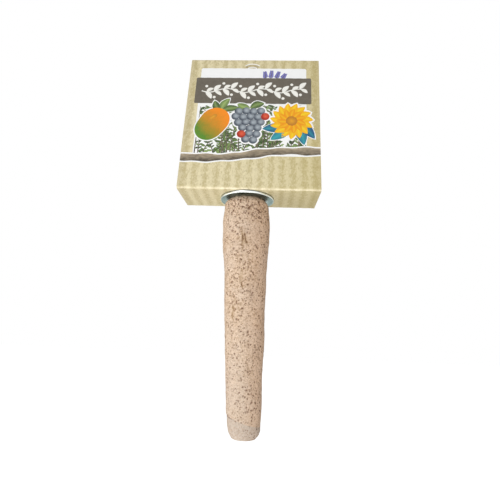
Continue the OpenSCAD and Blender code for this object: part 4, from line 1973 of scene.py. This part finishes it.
    def fruit(self) -> dict[str, list[Plate]]:
        """An orange fruit, fuller at the top and green at its foot, with leaves and a shine.

        Returns:
            Its parts by name.
        """
        x, h = self.fruit_at
        body = blob(
            (x, h),
            lambda t: 10.6 + 1.9 * np.cos(2 * t) + 0.8 * np.cos(t),
            lambda rho, t: 0.5 + 0.62 * rho * np.cos(t + 0.2),
            58,
            27,
        )
        shine = blob(
            (x + 0.5, h + 5.5),
            lambda t: 1.9 + 1.1 * np.cos(2 * t),
            lambda rho, t: 0.8 - 0.5 * rho,
            40,
            9,
        )
        spread = ((12, 12, 0.35), (11, 62, 0.6), (9, 118, 0.2))
        leaves = [leaf((x + 5, h + 10), long, 4.8, deg, tone) for long, deg, tone in spread]
        return {"body": [body], "leaves": leaves, "shine": [shine]}

    def petals(self, tone: float, grow: float = 0) -> list[Plate]:
        """The flower's outer row of petals, grown by a margin for their contour."""
        return [leaf(self.flower_at, 13.2, 5.4, k * 24.0 + 4, tone, grow) for k in range(15)]

    def flower(self) -> dict[str, list[Plate]]:
        """A yellow flower with two rows of petals, and teal leaves under it.

        Returns:
            Its parts by name.
        """
        at = self.flower_at
        upper = [leaf(at, 9.2, 3.8, k * 32.7 + 15, 0.2) for k in range(11)]
        eye = blob(at, lambda t: 3.4 + 0.12 * np.cos(9 * t), lambda rho, t: 0.75 - 0.6 * rho)
        spread = ((199, 0.4), (228, 0.75), (-42, 0.3), (-66, 0.6))
        teal = [leaf(at, 18.5, 7.0, deg, tone) for deg, tone in spread]
        return {"petals": self.petals(0.55), "upper": upper, "eye": [eye], "teal": teal}

    def grapes(self) -> dict[str, list[Plate]]:
        """A bunch of grey berries with two red ones and two leaves over it.

        Returns:
            Its parts by name.
        """
        def form(t: Array) -> Array:
            """A round edge."""
            return 2.6 + 0 * t

        def tone(rho: Array, t: Array) -> Array:
            """Light in the middle, darkest at the lower edge."""
            return 0.95 - rho * (0.95 - 0.4 * np.sin(t + 0.8))

        top_x, top_h = self.grapes_at
        berries: dict[str, list[Plate]] = {"grey": [], "red": []}
        for row, count in enumerate(self.bunch):
            for k in range(count):
                x = top_x + (k - (count - 1) / 2) * 4.5 + 0.5 * (row % 2)
                at = (x, top_h - 4.1 * row + 0.5 * ((k + row) % 2))
                colour = "red" if (row, k) in self.red_berries else "grey"
                berries[colour].append(blob(at, form, tone))
        spread = ((9.5, 24, 0.3), (8.5, 158, 0.6))
        leaves = [leaf((top_x, top_h + 2.5), long, 5.2, deg, tone) for long, deg, tone in spread]
        return {**berries, "leaves": leaves}

    def garland(self) -> list[Plate]:
        """A cream stem that waves along the band, with leaves and berries on alternate sides.

        Returns:
            Its shapes.
        """
        high, long = self.garland_wave
        t = np.linspace(-32.5, 32.5, 70)
        path = np.stack([t, self.garland_h + high * np.sin(t / long)], -1)
        shapes = [ribbon(path, np.full(t.shape, 0.34), 0.6)]
        for k in range(self.garland_leaves):
            x = -30.0 + 5.35 * k
            h = self.garland_h + high * math.sin(x / long)
            side = 1 if k % 2 else -1
            berry_at = (x + 0.4, h - side * 4.4)
            shapes.append(leaf((x, h), 6.6, 3.0, side * 52, 0.6))
            shapes.append(leaf((x + 0.6, h), 5.2, 2.4, -side * 34, 0.5))
            shapes.append(blob(berry_at, lambda a: 0.95 + 0 * a, lambda rho, a: 0.6 + 0 * rho, n=7))
        return shapes

    def lavender(self) -> tuple[list[Plate], list[Plate]]:
        """Short sprigs that stand up behind the band, with paired buds that get smaller.

        Returns:
            The buds, and the stems.
        """
        buds, stems = [], []
        t = np.linspace(0, 1, 8)
        for foot_x, long, deg in self.sprigs:
            way = np.array([math.cos(math.radians(deg)), math.sin(math.radians(deg))])
            foot = np.array([foot_x, 79.0])
            stems.append(ribbon(foot + long * t[:, None] * way, 0.22 * (1 - 0.5 * t), 0.2))
            for k in np.linspace(0.12, 0.86, 6):
                at = foot + long * k * way
                size = 2.1 * (1.15 - 0.5 * k)
                for side in (1, -1):
                    buds.append(leaf((at[0], at[1]), size, size * 0.6, deg + side * 42, 0.35, n=8))
        return buds, stems

    def slot_border(self) -> list[Plate]:
        """A white line round the hang slot: one arc of print over it, and one under it that is a
        painted highlight on the slot's lower edge.

        Returns:
            The two arcs.
        """
        card = self.sleeve
        half = card.slot_h / 2
        middle = card.panel_h - card.slot_drop - half - card.slot_r
        lines = []
        for r, reach in ((card.slot_r + half + 0.5, 0.66), (card.slot_r - half - 0.3, 0.6)):
            t = np.linspace(-reach, reach, 40)
            path = np.stack([r * np.sin(t) - card.middle, middle + r * np.cos(t)], -1)
            lines.append(ribbon(path, np.full(t.shape, 0.28), 0.6))
        return lines

    def build(self) -> None:
        """Prints every layer, from the white picture up to the details."""
        leaves, stems = self.foliage()
        buds, sprigs = self.lavender()
        fruit, flower, grapes = self.fruit(), self.flower(), self.grapes()
        green = fruit["leaves"] + grapes["leaves"]
        edged = fruit["body"] + grapes["grey"] + grapes["red"] + green + flower["teal"]
        # White contours round the motifs, and the slot's two arcs, of which the lower is a painted
        # highlight
        contours = [self.twig(self.edge), *self.slot_border()]
        contours += [plate.grown(self.edge) for plate in edged] + self.petals(0.5, self.edge)
        for name, layer, ink, plates in (
            ("print_picture", Layer.PICTURE, Ink.WHITE, [rounded(*self.picture, 1.2)]),
            ("print_leaves", Layer.FOLIAGE, Ink.GREEN, leaves),
            ("print_lavender", Layer.FOLIAGE, Ink.VIOLET, buds),
            ("print_stems", Layer.STEM, Ink.BARK, stems + sprigs),
            ("print_band", Layer.BAND, Ink.BROWN, [rounded(*self.band, 0.8)]),
            ("print_edges_and_highlight", Layer.EDGE, Ink.WHITE, contours),
            ("print_twig", Layer.TWIG, Ink.BARK, [self.twig(0)]),
            ("print_teal", Layer.UNDER, Ink.TEAL, flower["teal"]),
            ("print_green_leaves", Layer.UNDER, Ink.GREEN, green),
            ("print_petals", Layer.MOTIF, Ink.YELLOW, flower["petals"]),
            ("print_berries", Layer.MOTIF, Ink.GREY, grapes["grey"]),
            ("print_seeds", Layer.UPPER, Ink.RED, grapes["red"]),
            ("print_fruit", Layer.MOTIF, Ink.ORANGE, fruit["body"]),
            ("print_inner_petals", Layer.UPPER, Ink.YELLOW, flower["upper"]),
            ("print_eye", Layer.DETAIL, Ink.GOLD, flower["eye"]),
            ("print_shine", Layer.DETAIL, Ink.GOLD, fruit["shine"]),
            ("print_garland", Layer.DETAIL, Ink.CREAM, self.garland()),
        ):
            self.sheet(name, layer, ink, plates)


# Studio


@dataclass(frozen=True)
class PhotoCamera:
    """The camera that was fitted to the photograph, in a frame of 500 by 500 pixels."""

    focal_px: float = 367.23
    frame_px: float = 500.0
    sensor_mm: float = 36.0
    clip_start: float = 0.01
    place_mm: tuple[float, float, float] = (13.07, -212.24, -73.78)
    yaw_deg: float = -2.752
    pitch_deg: float = 11.277
    roll_deg: float = 2.296

    def turn(self) -> Matrix:
        """The camera's turn: yaw, then pitch, then roll about its own view.

        Returns:
            The turn as a matrix of four rows.
        """
        yaw, pitch, roll = (math.radians(v) for v in (self.yaw_deg, self.pitch_deg, self.roll_deg))
        flat = math.cos(pitch)
        ahead = Vector((math.sin(yaw) * flat, math.cos(yaw) * flat, math.sin(pitch)))
        level = Vector((math.cos(yaw), -math.sin(yaw), 0))
        up = level.cross(ahead)
        right = math.cos(roll) * level + math.sin(roll) * up
        above = -math.sin(roll) * level + math.cos(roll) * up
        return Matrix((right, above, -ahead)).transposed().to_4x4()

    def build(self) -> None:
        """Adds the camera."""
        data = bpy.data.cameras.new("photo_camera")
        data.sensor_width = self.sensor_mm
        data.lens = self.focal_px / self.frame_px * self.sensor_mm
        data.clip_start = self.clip_start
        camera = bpy.data.objects.new("photo_camera", data)
        camera.matrix_world = Matrix.Translation(Vector(self.place_mm) * MM) @ self.turn()
        bpy.context.scene.collection.objects.link(camera)
        bpy.context.scene.camera = camera


@dataclass(frozen=True)
class SoftLamp:
    """A square soft lamp: where it stands, its side in metres, its power and what it faces."""

    name: str
    place: tuple[float, float, float]
    size: float
    power: float
    aim: tuple[float, float, float] = (0.0, 0.0, -0.02)

    def build(self) -> None:
        """Adds the lamp, unseen by the camera."""
        data = bpy.data.lights.new(self.name, "AREA")
        data.size = self.size
        data.energy = self.power
        lamp = bpy.data.objects.new(self.name, data)
        at = Vector(self.place)
        view = (Vector(self.aim) - at).to_track_quat("-Z", "Y")
        lamp.matrix_world = Matrix.Translation(at) @ view.to_matrix().to_4x4()
        lamp.visible_camera = False
        bpy.context.scene.collection.objects.link(lamp)


@dataclass(frozen=True)
class Studio:
    """Pale floor, white surroundings and soft lamps: from the left, the front, above and behind."""

    floor_z: float = -0.6
    floor_half: float = 6.0
    floor_colour: Colour = (0.85, 0.85, 0.85)
    floor_roughness: float = 0.9
    floor_glow: float = 0.66
    white: Colour = (1.0, 1.0, 1.0)
    surround: float = 0.5
    lamps: tuple[SoftLamp, ...] = (
        SoftLamp("side", (-0.5, -0.12, -0.25), 0.4, 1.15),
        SoftLamp("front", (-0.05, -0.55, -0.30), 0.4, 1.85),
        SoftLamp("high", (-0.3, -0.7, 0.3), 0.4, 0.95),
        SoftLamp("back", (0.0, 0.95, 0.05), 0.7, 3.0),
    )

    def floor(self) -> None:
        """A wide matt floor that goes to white for the camera and keeps its shadows."""
        h, z = self.floor_half, self.floor_z
        mesh = bpy.data.meshes.new("floor")
        mesh.from_pydata([(-h, -h, z), (h, -h, z), (h, h, z), (-h, h, z)], [], [[0, 1, 2, 3]])
        ground = bpy.data.objects.new("floor", mesh)
        bpy.context.scene.collection.objects.link(ground)
        sheet = Sheet("floor_white")
        ray = sheet.node("ShaderNodeLightPath").outputs
        seen = sheet.math("MAXIMUM", ray["Is Camera Ray"], ray["Is Glossy Ray"])
        glow = sheet.math("MULTIPLY", seen, self.floor_glow)
        lit = {"Emission Color": self.white, "Emission Strength": glow}
        mesh.materials.append(sheet.finish(self.floor_colour, self.floor_roughness, lit))

    def world(self) -> None:
        """White surroundings: full white for the camera and reflections, softer as light."""
        world = bpy.data.worlds.new("surroundings")
        world.use_nodes = True
        world.node_tree.nodes.clear()
        bpy.context.scene.world = world
        nodes = Nodes(world.node_tree)
        ray = nodes.node("ShaderNodeLightPath").outputs
        seen = nodes.math("MAXIMUM", ray["Is Camera Ray"], ray["Is Glossy Ray"])
        seen = nodes.math("MAXIMUM", seen, ray["Is Transmission Ray"])
        light, shown = (
            nodes.node("ShaderNodeBackground", {"Color": self.white, "Strength": strength})
            for strength in (self.surround, 1.0)
        )
        sources = {"Fac": seen, 1: light.outputs[0], 2: shown.outputs[0]}
        mix = nodes.node("ShaderNodeMixShader", sources)
        nodes.node("ShaderNodeOutputWorld", {"Surface": mix.outputs[0]})

    def build(self) -> None:
        """Adds floor, surroundings and lamps."""
        self.floor()
        self.world()
        for lamp in self.lamps:
            lamp.build()
        bpy.context.scene.view_settings.view_transform = "Standard"


def corners(box: tuple[Vector, Vector]) -> list[list[float]]:
    """A box as two plain lists of numbers."""
    return [[float(v) for v in corner] for corner in box]


def main() -> None:
    """Builds the studio and every piece."""
    logging.basicConfig(level=logging.INFO, format="%(message)s")
    PhotoCamera().build()
    Studio().build()
    CoatedBranch().build()
    Hardware().build()
    sleeve = CardSleeve()
    sleeve.build()
    Print(sleeve).build()


if __name__ == "__main__":
    main()
